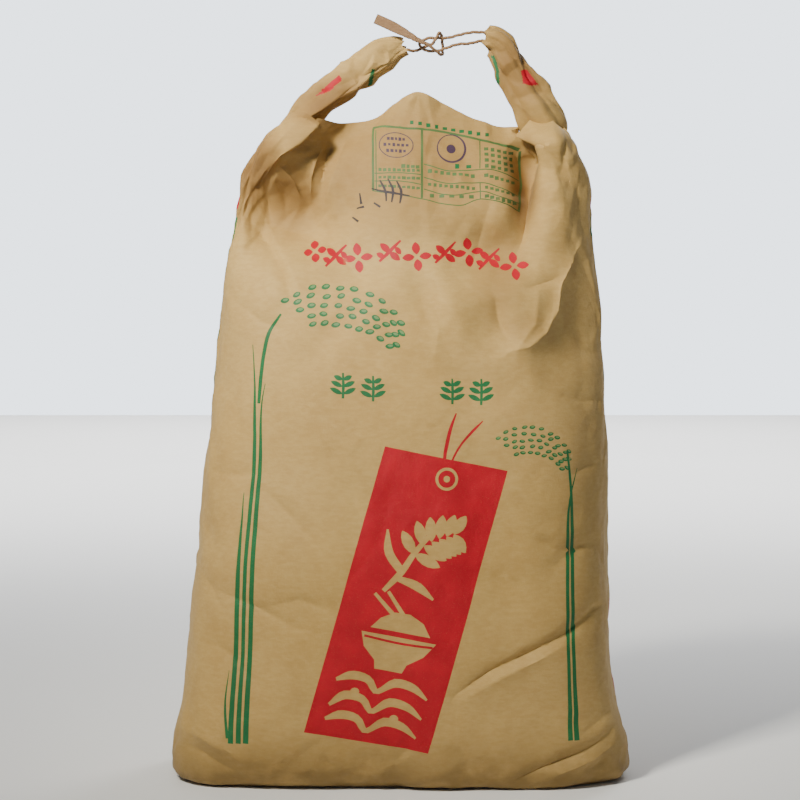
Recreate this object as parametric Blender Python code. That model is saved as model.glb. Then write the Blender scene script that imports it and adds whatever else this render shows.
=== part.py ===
"""A tied-up 30 kg kraft paper rice sack, standing upright.

The mouth is rolled up into a band behind the top edge, and the band's two ends rise
over the sack as arms, which a paper cord ties together.
Metres, +Z up, front towards -Y. The origin is at the middle of the box's base.
"""
import math

import bmesh
import bpy
import numpy as np
from mathutils import Vector

# The filled bag, front view. Heights are above the floor.
SHOULDER_Z = 0.490      # above this the front and back walls close towards the top edge
TOP_Z = 0.630           # nominal height of the top edge
LEFT_SIDE = [(0.000, -0.2040), (0.004, -0.2105), (0.014, -0.2155), (0.028, -0.2150), (0.050, -0.2120),
             (0.070, -0.2078), (0.105, -0.2035), (0.182, -0.1956), (0.260, -0.1876), (0.335, -0.1787),
             (0.411, -0.1698), (0.487, -0.1600), (0.525, -0.1535), (0.562, -0.1478), (0.581, -0.1430),
             (0.600, -0.1331), (0.615, -0.1190), (0.630, -0.1040)]
RIGHT_SIDE = [(0.000, 0.2050), (0.004, 0.2110), (0.014, 0.2160), (0.028, 0.2150), (0.050, 0.2115),
              (0.070, 0.2050), (0.105, 0.1998), (0.182, 0.1966), (0.260, 0.1935), (0.335, 0.1929),
              (0.411, 0.1914), (0.449, 0.1890), (0.487, 0.1835), (0.525, 0.1802), (0.562, 0.1788),
              (0.581, 0.1745), (0.600, 0.1661), (0.615, 0.1570), (0.630, 0.1470)]
# Half of the bag's thickness, front to back, and how square its cross-section is (2 is an ellipse).
HALF_DEPTH = [(0.000, 0.080), (0.004, 0.088), (0.014, 0.095), (0.030, 0.100), (0.080, 0.106),
              (0.160, 0.107), (0.260, 0.103), (0.360, 0.094), (0.440, 0.079), (0.510, 0.058),
              (0.570, 0.037), (0.610, 0.021), (0.630, 0.011)]
SQUARENESS = [(0.000, 4.2), (0.100, 3.5), (0.300, 2.9), (0.450, 2.5), (0.560, 2.3), (0.630, 2.2)]
CORNER_CROWDING = 0.139     # moves the columns of points towards the section's corners
# The top edge's true height across the sack, from its left end (-1) to its right end (1).
TOP_EDGE = [(-1.00, 0.622), (-0.88, 0.624), (-0.75, 0.613), (-0.67, 0.614), (-0.53, 0.617), (-0.34, 0.622),
            (-0.23, 0.631), (-0.14, 0.640), (-0.04, 0.645), (0.07, 0.640), (0.21, 0.631), (0.36, 0.622),
            (0.58, 0.613), (0.71, 0.609), (0.84, 0.616), (0.92, 0.624), (1.00, 0.626)]
# How far the walls of the top part come forward (+) or lie back (-), across the sack.
TOP_FORWARD = [(-1.00, 0.002), (-0.88, 0.012), (-0.72, 0.008), (-0.56, -0.014), (-0.30, -0.018),
               (0.00, -0.014), (0.30, -0.014), (0.58, -0.016), (0.72, 0.002), (0.86, 0.014), (1.00, 0.002)]

# Pleats where a shoulder laps over the front: (x, z) down the fold, and how far it steps forward.
SHOULDER_PLEATS = [
    {"line": [(-0.072, 0.622), (-0.092, 0.598), (-0.111, 0.582), (-0.134, 0.552)], "outer": -1,
     "step": 0.014},
    {"line": [(0.112, 0.624), (0.128, 0.594), (0.1275, 0.563), (0.1225, 0.540), (0.116, 0.498)], "outer": 1,
     "step": 0.014},
]
PLEAT_SOFTNESS = 0.008
PLEAT_FADE = 0.7        # power by which a pleat's step fades towards its lower end
RELIEF_REACH = 1.6      # how far round the sides the front's relief keeps its full height
# Broad hollows in the front: centre x, z, half-widths and depth.
HOLLOWS = [
    {"at": (-0.070, 0.566), "size": (0.036, 0.055), "depth": 0.008},
    {"at": (0.106, 0.548), "size": (0.020, 0.055), "depth": 0.010},
    {"at": (0.135, 0.425), "size": (0.050, 0.060), "depth": 0.006},
]

# The rolled mouth: stations from the left arm's end, round behind the top edge, to the right arm's end.
# Each has its centre, the direction across the band's width, and its half-width and half-thickness.
ROLL = [
    ((0.0040, 0.002, 0.6880), (-0.20, 0.00, 0.98), 0.0095, 0.0070),
    ((-0.0060, 0.002, 0.6845), (-0.45, 0.00, 0.89), 0.0125, 0.0085),
    ((-0.0170, 0.002, 0.6780), (-0.62, 0.00, 0.78), 0.0140, 0.0095),
    ((-0.0330, 0.002, 0.6660), (-0.66, 0.00, 0.75), 0.0148, 0.0105),
    ((-0.0500, 0.003, 0.6535), (-0.64, 0.00, 0.77), 0.0152, 0.0110),
    ((-0.0700, 0.006, 0.6385), (-0.60, 0.05, 0.80), 0.0155, 0.0115),
    ((-0.0890, 0.012, 0.6235), (-0.50, 0.15, 0.85), 0.0165, 0.0115),
    ((-0.1000, 0.024, 0.6040), (-0.30, 0.20, 0.93), 0.0180, 0.0110),
    ((-0.0850, 0.034, 0.5900), (-0.10, 0.10, 0.99), 0.0195, 0.0105),
    ((-0.0450, 0.037, 0.5880), (0.00, 0.05, 1.00), 0.0205, 0.0105),
    ((0.0100, 0.037, 0.5980), (0.00, 0.00, 1.00), 0.0215, 0.0110),
    ((0.0650, 0.037, 0.5900), (0.00, 0.05, 1.00), 0.0215, 0.0105),
    ((0.1100, 0.034, 0.5870), (0.10, 0.10, 0.99), 0.0215, 0.0105),
    ((0.1360, 0.022, 0.5940), (0.50, 0.20, 0.84), 0.0235, 0.0115),
    ((0.1395, 0.008, 0.6090), (0.85, 0.10, 0.52), 0.0240, 0.0135),
    ((0.1280, 0.000, 0.6300), (0.87, 0.00, 0.49), 0.0215, 0.0140),
    ((0.1140, 0.000, 0.6520), (0.88, 0.00, 0.47), 0.0185, 0.0125),
    ((0.1030, 0.000, 0.6735), (0.88, 0.00, 0.48), 0.0165, 0.0110),
    ((0.0925, 0.001, 0.6900), (0.68, 0.00, 0.73), 0.0145, 0.0090),
    ((0.0800, 0.002, 0.6970), (0.30, 0.00, 0.95), 0.0100, 0.0070),
]

# The paper cord that ties the arms, in the knot's own frame: x to the right, y back, z up.
CORD_RADIUS = 0.0016
CORD_GAP = 0.0013       # between an arm's end and the middle of the cord's own end
KNOT = Vector((0.0300, 0.0020, 0.6890))
# The right cord is a loop: from the arm's end to the eye, round it, and back to the same end.
LOOP_ROUTE = [(0.0400, 0.000, 0.0120), (0.0270, 0.000, 0.0098), (0.0150, 0.000, 0.0068),
              (0.0050, 0.000, 0.0066), (-0.0050, 0.000, 0.0060), (-0.0118, 0.000, 0.0006),
              (-0.0055, 0.000, -0.0050), (0.0045, 0.000, -0.0054), (0.0140, 0.000, -0.0026),
              (0.0240, 0.000, 0.0006), (0.0360, 0.000, 0.0016)]
LOOP_EXITS = [(0.0032, 0.000), (-0.0055, 0.000)]    # up and back from the middle of the arm's end
# The left cord passes behind the loop, up through its eye, laps both strands and ends in a stiff tail.
LEFT_ROUTE = [(-0.0170, 0.0030, -0.0052), (-0.0125, 0.0052, -0.0038), (-0.0080, 0.0056, -0.0016),
              (-0.0030, 0.0010, 0.0000), (0.0010, -0.0046, 0.0012), (0.0045, -0.0052, 0.0066),
              (0.0072, -0.0010, 0.0112), (0.0092, 0.0046, 0.0092), (0.0102, 0.0058, 0.0010),
              (0.0104, 0.0044, -0.0066), (0.0088, -0.0010, -0.0092), (0.0046, -0.0060, -0.0068),
              (-0.0030, -0.0092, -0.0010), (-0.0120, -0.0100, 0.0030), (-0.0250, -0.0100, 0.0100),
              (-0.0390, -0.0100, 0.0172), (-0.0530, -0.0100, 0.0235)]
LEFT_EXIT = (-0.0040, 0.000)
TAIL_HALF_WIDTH = 0.0048    # the tail is the same paper tape, opened out towards its end
TAIL_HALF_THICKNESS = 0.0013
TAIL_FROM = 0.66            # share of the left cord's length at which it starts to open
TAIL_UPRIGHT = 0.35         # how quickly the opened tape turns its flat side to the front

# How finely the solids are divided.
BAG_COLUMNS = 72
BAG_LEVELS = [0.0, 0.004, 0.012, 0.026, 0.045, 0.070, 0.100, 0.135, 0.170, 0.205, 0.240, 0.275, 0.310,
              0.345, 0.380, 0.410, 0.440, 0.465, 0.485, 0.503, 0.520, 0.536, 0.551, 0.565, 0.578,
              0.590, 0.602, 0.613, 0.622, 0.630]
ROLL_STATIONS = 44
ROLL_SIDES = 14
ROLL_STEP = 0.01        # share of the roll's length over which its direction is measured
CORD_SIDES = 8
CORD_BEVEL_STEPS = 2
LOOP_POINTS = 46
LEFT_POINTS = 68


def through(knots, at):
    """A smooth curve through (position, value) knots, held to its end values outside them."""
    x = np.array([k[0] for k in knots], float)
    y = np.array([k[1] for k in knots], float)
    at = np.clip(np.asarray(at, float), x[0], x[-1])
    secant = np.diff(y) / np.diff(x)
    slope = np.concatenate([secant[:1], (secant[1:] + secant[:-1]) / 2, secant[-1:]])
    slope[1:-1][secant[1:] * secant[:-1] <= 0] = 0.0
    i = np.clip(np.searchsorted(x, at, side="right") - 1, 0, len(x) - 2)
    width = x[i + 1] - x[i]
    t = (at - x[i]) / width
    return ((2 * t**3 - 3 * t**2 + 1) * y[i] + (t**3 - 2 * t**2 + t) * width * slope[i]
            + (3 * t**2 - 2 * t**3) * y[i + 1] + (t**3 - t**2) * width * slope[i + 1])


def smooth_step(low, high, value):
    """Rises from 0 at low to 1 at high."""
    t = np.clip((value - low) / (high - low), 0.0, 1.0)
    return t * t * (3 - 2 * t)


def beside(line, x, z):
    """Signed distance from a polyline in the front view, and the share along it.

    The distance is + to the right of a line that runs downwards.
    """
    best = np.full(x.shape, 1e9)
    signed = np.zeros(x.shape)
    share = np.zeros(x.shape)
    count = len(line) - 1
    for k in range(count):
        (x0, z0), (x1, z1) = line[k], line[k + 1]
        dx, dz = x1 - x0, z1 - z0
        t = np.clip(((x - x0) * dx + (z - z0) * dz) / (dx * dx + dz * dz), 0, 1)
        away = np.hypot(x - x0 - t * dx, z - z0 - t * dz)
        side = np.sign((x - x0) * -dz + (z - z0) * dx)
        nearer = away < best
        best = np.where(nearer, away, best)
        signed = np.where(nearer, away * side, signed)
        share = np.where(nearer, (k + t) / count, share)
    return signed, share


def bag_point(u, h):
    """The bag's wall at u and a nominal height h.

    u is 0 at the front's middle, 0.5 at the right side and 1 at the back's middle.
    """
    angle = math.pi * u - CORNER_CROWDING * np.sin(2 * math.pi * u)
    across, along = np.sin(angle), np.cos(angle)
    square = through(SQUARENESS, h)
    reach = (np.abs(across)**square + np.abs(along)**square)**(-1 / square)
    across, along = across * reach, along * reach
    left, right = through(LEFT_SIDE, h), through(RIGHT_SIDE, h)
    x = (left + right) / 2 + (right - left) / 2 * across
    y = -through(HALF_DEPTH, h) * along
    rise = smooth_step(SHOULDER_Z, TOP_Z, h)
    climb = np.clip((h - SHOULDER_Z) / (TOP_Z - SHOULDER_Z), 0, 1)
    z = h + climb * rise**0.5 * (through(TOP_EDGE, across) - TOP_Z)
    y = y - rise * through(TOP_FORWARD, across)
    front = np.clip(along * RELIEF_REACH, 0, 1)
    return x, y - front * front_relief(x, z), z


def front_relief(x, z):
    """How far the front wall stands forward of its plain form."""
    out = np.zeros(x.shape)
    for pleat in SHOULDER_PLEATS:
        away, share = beside(pleat["line"], x, z)
        lap = 0.5 * (1 + np.tanh(pleat["outer"] * away / PLEAT_SOFTNESS))
        out += pleat["step"] * (1 - share)**PLEAT_FADE * lap
    for hollow in HOLLOWS:
        dx = (x - hollow["at"][0]) / hollow["size"][0]
        dz = (z - hollow["at"][1]) / hollow["size"][1]
        out -= hollow["depth"] * np.exp(-(dx * dx + dz * dz))
    return out


def new_object(name, mesh, material):
    """A smooth-shaded object in the sack's collection."""
    mesh.materials.append(material)
    mesh.shade_smooth()
    mesh.set_sharp_from_angle(angle=math.radians(50))
    obj = bpy.data.objects.new(name, mesh)
    bpy.context.scene.collection.children["rice_sack"].objects.link(obj)
    return obj


def loft(name, rings, cap_first, cap_last):
    """A closed mesh through rings of points, which run the same way round, with a function for each end's cap."""
    build = bmesh.new()
    rows = [[build.verts.new(point) for point in ring] for ring in rings]
    for lower, upper in zip(rows, rows[1:]):
        for k in range(len(lower)):
            after = (k + 1) % len(lower)
            build.faces.new((lower[k], lower[after], upper[after], upper[k]))
    cap_first(build, rows[0][::-1])
    cap_last(build, rows[-1])
    bmesh.ops.recalc_face_normals(build, faces=build.faces)
    mesh = bpy.data.meshes.new(name)
    build.to_mesh(mesh)
    build.free()
    return mesh


def oval(centre, first_axis, second_axis, sides):
    """Points round an ellipse, from its centre and its two half-axes."""
    angles = [2 * math.pi * k / sides for k in range(sides)]
    return [centre + first_axis * math.cos(angle) + second_axis * math.sin(angle) for angle in angles]


def flat_cap(build, row):
    build.faces.new(row)


def seam_cap(build, row):
    """Joins the front wall's top edge to the back wall's, across the thin top."""
    count = len(row)
    right_side = count // 4
    turned = [row[(right_side + k) % count] for k in range(count)]
    half = count // 2
    build.faces.new((turned[0], turned[1], turned[-1]))
    for k in range(1, half - 1):
        build.faces.new((turned[k], turned[k + 1], turned[-k - 1], turned[-k]))
    build.faces.new((turned[half - 1], turned[half], turned[half + 1]))


def bag_mesh():
    u = np.arange(BAG_COLUMNS) * 2 / BAG_COLUMNS
    rings = []
    for h in BAG_LEVELS:
        x, y, z = bag_point(u, np.full(BAG_COLUMNS, h))
        rings.append(list(zip(x, y, z)))
    return loft("bag", rings, flat_cap, seam_cap)


def roll_station(share):
    """The rolled band's frame at a share of its length, and its half-width and half-thickness there.

    The frame is the centre, and unit directions along the band, across its width and through its thickness.
    """
    rows = np.array([(*centre, *wide, half_width, half_thick) for centre, wide, half_width, half_thick in ROLL])
    shares = np.linspace(0, 1, len(ROLL))

    def at(where):
        return [float(through(list(zip(shares, column)), where)) for column in rows.T]

    values = at(share)
    before = Vector(at(max(share - ROLL_STEP, 0))[:3])
    after = Vector(at(min(share + ROLL_STEP, 1))[:3])
    ahead = (after - before).normalized()
    thick = ahead.cross(Vector(values[3:6])).normalized()
    return Vector(values[:3]), ahead, thick.cross(ahead), thick, values[6], values[7]


def roll_mesh():
    """The rolled band, with a flat oval section."""
    rings = []
    for j in range(ROLL_STATIONS):
        centre, ahead, wide, thick, half_width, half_thick = roll_station(j / (ROLL_STATIONS - 1))
        rings.append(oval(centre, wide * half_width, thick * half_thick, ROLL_SIDES))
    return loft("roll", rings, flat_cap, flat_cap)


def fused(name, first, second, material):
    """One solid from two overlapping meshes."""
    obj = new_object(name, first, material)
    other = new_object(name + "_other", second, material)
    union = obj.modifiers.new("union", "BOOLEAN")
    union.operation = "UNION"
    union.object = other
    graph = bpy.context.evaluated_depsgraph_get()
    mesh = bpy.data.meshes.new_from_object(obj.evaluated_get(graph))
    bpy.data.objects.remove(other)
    obj.modifiers.clear()
    obj.data = mesh
    obj.data.name = name
    return obj


def arm_end(share, offset):
    """A point just off an arm's end face, offset from its middle along the band's width and through it."""
    centre, ahead, wide, thick = roll_station(share)[:4]
    outward = ahead if share > 0.5 else -ahead
    return centre + wide * offset[0] + thick * offset[1] + outward * CORD_GAP


def smooth_route(points, count):
    """Evenly spaced points on a smooth curve through the points."""
    lengths = np.concatenate([[0], np.cumsum([(b - a).length for a, b in zip(points, points[1:])])])
    fine = np.linspace(0, lengths[-1], 400)
    curve = np.stack([through(list(zip(lengths, [p[k] for p in points])), fine) for k in range(3)], axis=1)
    run = np.concatenate([[0], np.cumsum(np.linalg.norm(np.diff(curve, axis=0), axis=1))])
    even = np.linspace(0, run[-1], count)
    return [Vector([np.interp(t, run, curve[:, k]) for k in range(3)]) for t in even]


def cord_curve(name, points, material):
    """A round cord along the points."""
    data = bpy.data.curves.new(name, "CURVE")
    data.dimensions = "3D"
    data.bevel_depth = CORD_RADIUS
    data.bevel_resolution = CORD_BEVEL_STEPS
    data.use_fill_caps = True
    spline = data.splines.new("POLY")
    spline.points.add(len(points) - 1)
    for spline_point, point in zip(spline.points, points):
        spline_point.co = (*point, 1)
    data.materials.append(material)
    obj = bpy.data.objects.new(name, data)
    bpy.context.scene.collection.children["rice_sack"].objects.link(obj)
    return obj


def tailed_cord(name, points, material):
    """The left cord: round up to the knot, then a tape that opens out flat towards its end."""
    rings = []
    last = len(points) - 1
    for j, point in enumerate(points):
        ahead = (points[min(j + 1, last)] - points[max(j - 1, 0)]).normalized()
        opened = float(smooth_step(TAIL_FROM, 1.0, j / last))
        half_width = CORD_RADIUS + (TAIL_HALF_WIDTH - CORD_RADIUS) * opened
        half_thick = CORD_RADIUS + (TAIL_HALF_THICKNESS - CORD_RADIUS) * opened
        if j == 0:
            wide = ahead.orthogonal().normalized()
        wide = (wide - ahead * wide.dot(ahead)).normalized()
        if opened > 0:
            upright = Vector((0, 0, 1)) - ahead * ahead.z
            wide = wide.lerp(upright.normalized(), TAIL_UPRIGHT).normalized()
        rings.append(oval(point, wide * half_width, ahead.cross(wide) * half_thick, CORD_SIDES))
    return new_object(name, loft(name, rings, flat_cap, flat_cap), material)


def paper(name, colour, roughness):
    material = bpy.data.materials.new(name)
    material.use_nodes = True
    shader = material.node_tree.nodes["Principled BSDF"]
    shader.inputs["Base Color"].default_value = (*colour, 1)
    shader.inputs["Roughness"].default_value = roughness
    shader.inputs["Metallic"].default_value = 0.0
    material.diffuse_color = (*colour, 1)
    return material


def main():
    for obj in list(bpy.data.objects):
        bpy.data.objects.remove(obj)
    bpy.context.scene.collection.children.link(bpy.data.collections.new("rice_sack"))
    kraft = paper("kraft_paper", (0.56, 0.40, 0.23), 0.75)
    twine = paper("paper_cord", (0.50, 0.34, 0.19), 0.80)
    fused("sack", bag_mesh(), roll_mesh(), kraft)
    upper, lower = [arm_end(1.0, offset) for offset in LOOP_EXITS]
    loop = [upper] + [KNOT + Vector(p) for p in LOOP_ROUTE] + [lower]
    cord_curve("tie_loop_right", smooth_route(loop, LOOP_POINTS), twine)
    left = [arm_end(0.0, LEFT_EXIT)] + [KNOT + Vector(p) for p in LEFT_ROUTE]
    tailed_cord("tie_cord_left", smooth_route(left, LEFT_POINTS), twine)


main()
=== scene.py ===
"""The looks of a tied-up kraft paper rice sack: camera, light, paper, print and ties.

Metres, +Z up, front towards -Y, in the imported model's frame.
"""
import math
import operator
import random

import bmesh
import bpy
import numpy as np
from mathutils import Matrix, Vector, kdtree
from mathutils.bvhtree import BVHTree
from mathutils.geometry import delaunay_2d_cdt


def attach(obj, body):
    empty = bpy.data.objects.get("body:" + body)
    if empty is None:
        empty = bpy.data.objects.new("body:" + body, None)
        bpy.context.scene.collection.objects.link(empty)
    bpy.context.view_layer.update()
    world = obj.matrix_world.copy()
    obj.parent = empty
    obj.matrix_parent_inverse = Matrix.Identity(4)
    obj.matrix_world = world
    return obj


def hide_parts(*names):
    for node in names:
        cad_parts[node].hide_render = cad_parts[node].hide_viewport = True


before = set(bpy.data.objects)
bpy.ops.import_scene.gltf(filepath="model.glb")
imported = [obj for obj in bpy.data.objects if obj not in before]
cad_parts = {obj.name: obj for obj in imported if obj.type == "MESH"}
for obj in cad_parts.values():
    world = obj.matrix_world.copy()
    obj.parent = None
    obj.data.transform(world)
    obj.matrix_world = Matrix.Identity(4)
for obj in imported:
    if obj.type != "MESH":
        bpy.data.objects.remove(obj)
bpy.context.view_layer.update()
SCENE = bpy.context.scene.collection

# Camera and light
CAMERA_AT = (0.0, -1.99726, 0.45875)
CAMERA_AIM = (0.0, 0.0, 0.3541)
CAMERA_LENS = 94.74
LIGHTS = [
    {"name": "key", "at": (-0.71, -1.02, 1.46), "aim": (0.0, 0.0, 0.5), "size": 0.26, "power": 6.3,
     "spread": 64, "colour": (1.0, 0.965, 0.86)},
    {"name": "back", "at": (1.1, 1.8, 1.55), "aim": (0.0, 0.0, 0.4), "size": 0.9, "power": 3.2,
     "spread": 60, "colour": (1.0, 0.98, 0.95)},
]
# Four wide lights that fall on the floor round the sack, away from it
FLOOR_LIGHTS = [("rear", 0.0, 3.9), ("left", -5.0, 0.0), ("right", 5.0, 0.0), ("front", 0.0, -5.4)]
LIGHTS += [{"name": "floor_" + side, "at": (x, y, 3.0), "aim": (x, y, 0.0), "size": 5.0, "power": 230.0,
            "spread": 80, "colour": (1.0, 1.0, 1.0)} for side, x, y in FLOOR_LIGHTS]
WORLD_STRENGTH = 0.155
WORLD_COLOUR = (0.83, 0.91, 1.0)
BACKDROP_STRENGTH = 3.0     # how bright the surroundings look behind the sack
FLOOR_SIZE = 11.4

# The filled bag, as in the solids: heights above the floor against the outline's sides
SHOULDER_Z = 0.49
TOP_Z = 0.63
LEFT_SIDE = [(0.0, -0.204), (0.004, -0.2105), (0.014, -0.2155), (0.028, -0.215), (0.05, -0.212),
             (0.07, -0.2078), (0.105, -0.2035), (0.182, -0.1956), (0.26, -0.1876), (0.335, -0.1787),
             (0.411, -0.1698), (0.487, -0.16), (0.525, -0.1535), (0.562, -0.1478), (0.581, -0.143),
             (0.6, -0.1331), (0.615, -0.119), (0.63, -0.104)]
RIGHT_SIDE = [(0.0, 0.205), (0.004, 0.211), (0.014, 0.216), (0.028, 0.215), (0.05, 0.2115),
              (0.07, 0.205), (0.105, 0.1998), (0.182, 0.1966), (0.26, 0.1935), (0.335, 0.1929),
              (0.411, 0.1914), (0.449, 0.189), (0.487, 0.1835), (0.525, 0.1802), (0.562, 0.1788),
              (0.581, 0.1745), (0.6, 0.1661), (0.615, 0.157), (0.63, 0.147)]
HALF_DEPTH = [(0.0, 0.074), (0.004, 0.083), (0.014, 0.093), (0.03, 0.1), (0.08, 0.106),
              (0.16, 0.107), (0.26, 0.103), (0.36, 0.094), (0.44, 0.079), (0.51, 0.058),
              (0.57, 0.037), (0.61, 0.021), (0.63, 0.011)]
SQUARENESS = [(0.0, 4.2), (0.1, 3.5), (0.3, 2.9), (0.45, 2.5), (0.56, 2.3), (0.63, 2.2)]
CORNER_CROWDING = 0.139
TOP_EDGE = [(-1.0, 0.622), (-0.88, 0.624), (-0.75, 0.613), (-0.67, 0.614), (-0.53, 0.617), (-0.34, 0.622),
            (-0.23, 0.631), (-0.14, 0.64), (-0.04, 0.645), (0.07, 0.64), (0.21, 0.631), (0.36, 0.622),
            (0.58, 0.613), (0.71, 0.609), (0.84, 0.616), (0.92, 0.624), (1.0, 0.626)]
TOP_FORWARD = [(-1.0, 0.002), (-0.88, 0.012), (-0.72, 0.008), (-0.56, -0.014), (-0.3, -0.018),
               (0.0, -0.014), (0.3, -0.014), (0.58, -0.016), (0.72, 0.002), (0.86, 0.014), (1.0, 0.002)]
RELIEF_REACH = 1.6      # how far round towards the sides the front's folds run
# Where the right shoulder's corner goes into the arm: heights and x from nothing to fully tucked
TUCK_Z = (0.598, 0.624)
TUCK_X = (0.098, 0.122)
TUCK_IN = 0.005
TUCK_Y = 0.002

# Pleats: (x, z) down the fold, which side laps over, how far it steps forward and how far it laps
PLEATS = [
    {"line": [(-0.072, 0.622), (-0.092, 0.598), (-0.111, 0.582), (-0.134, 0.552)],
     "outer": -1, "step": 0.014, "lap": 2.6, "reach": 0.0085, "fade": 0.6},
    {"line": [(0.104, 0.626), (0.1085, 0.606), (0.128, 0.594), (0.1275, 0.563), (0.1225, 0.54), (0.115, 0.5)],
     "outer": 1, "step": 0.014, "lap": 2.5, "reach": 0.008, "fade": 0.7},
]
PLEAT_SOFT = 0.0042
# Broad hollows (+) and swellings (-) in the front: centre, half-widths, turn in degrees, depth
DENTS = [
    ((-0.098, 0.522), (0.056, 0.038), 12, 0.042),
    ((0.088, 0.492), (0.038, 0.026), 0, 0.022),
    ((0.117, 0.558), (0.013, 0.042), 0, 0.028),
    ((0.16, 0.525), (0.03, 0.035), 0, -0.006),
    ((0.155, 0.42), (0.03, 0.05), 0, 0.012),
    ((0.084, 0.428), (0.02, 0.026), 10, 0.005),
    ((0.188, 0.33), (0.03, 0.2), 0, 0.01),
    ((-0.11, 0.468), (0.02, 0.04), 28, -0.007),
    ((-0.045, 0.474), (0.016, 0.042), 60, 0.006),
    ((0.0, 0.3), (0.12, 0.12), 0, -0.004),
    ((0.03, 0.505), (0.06, 0.022), 0, 0.006),
    ((-0.12, 0.595), (0.022, 0.022), 0, -0.008),
    ((-0.136, 0.545), (0.02, 0.028), 0, 0.01),
    ((0.015, 0.65), (0.06, 0.018), 0, -0.008),
    ((0.024, 0.452), (0.012, 0.026), -25, 0.005),
    ((0.046, 0.446), (0.014, 0.04), -20, -0.004),
    ((-0.066, 0.42), (0.018, 0.05), 35, 0.004),
    ((0.064, 0.372), (0.05, 0.014), 20, 0.003),
    ((0.08, 0.25), (0.03, 0.11), -12, 0.004),
    ((-0.03, 0.16), (0.045, 0.06), 20, -0.004),
    ((0.13, 0.12), (0.06, 0.022), 24, -0.004),
]
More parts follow.
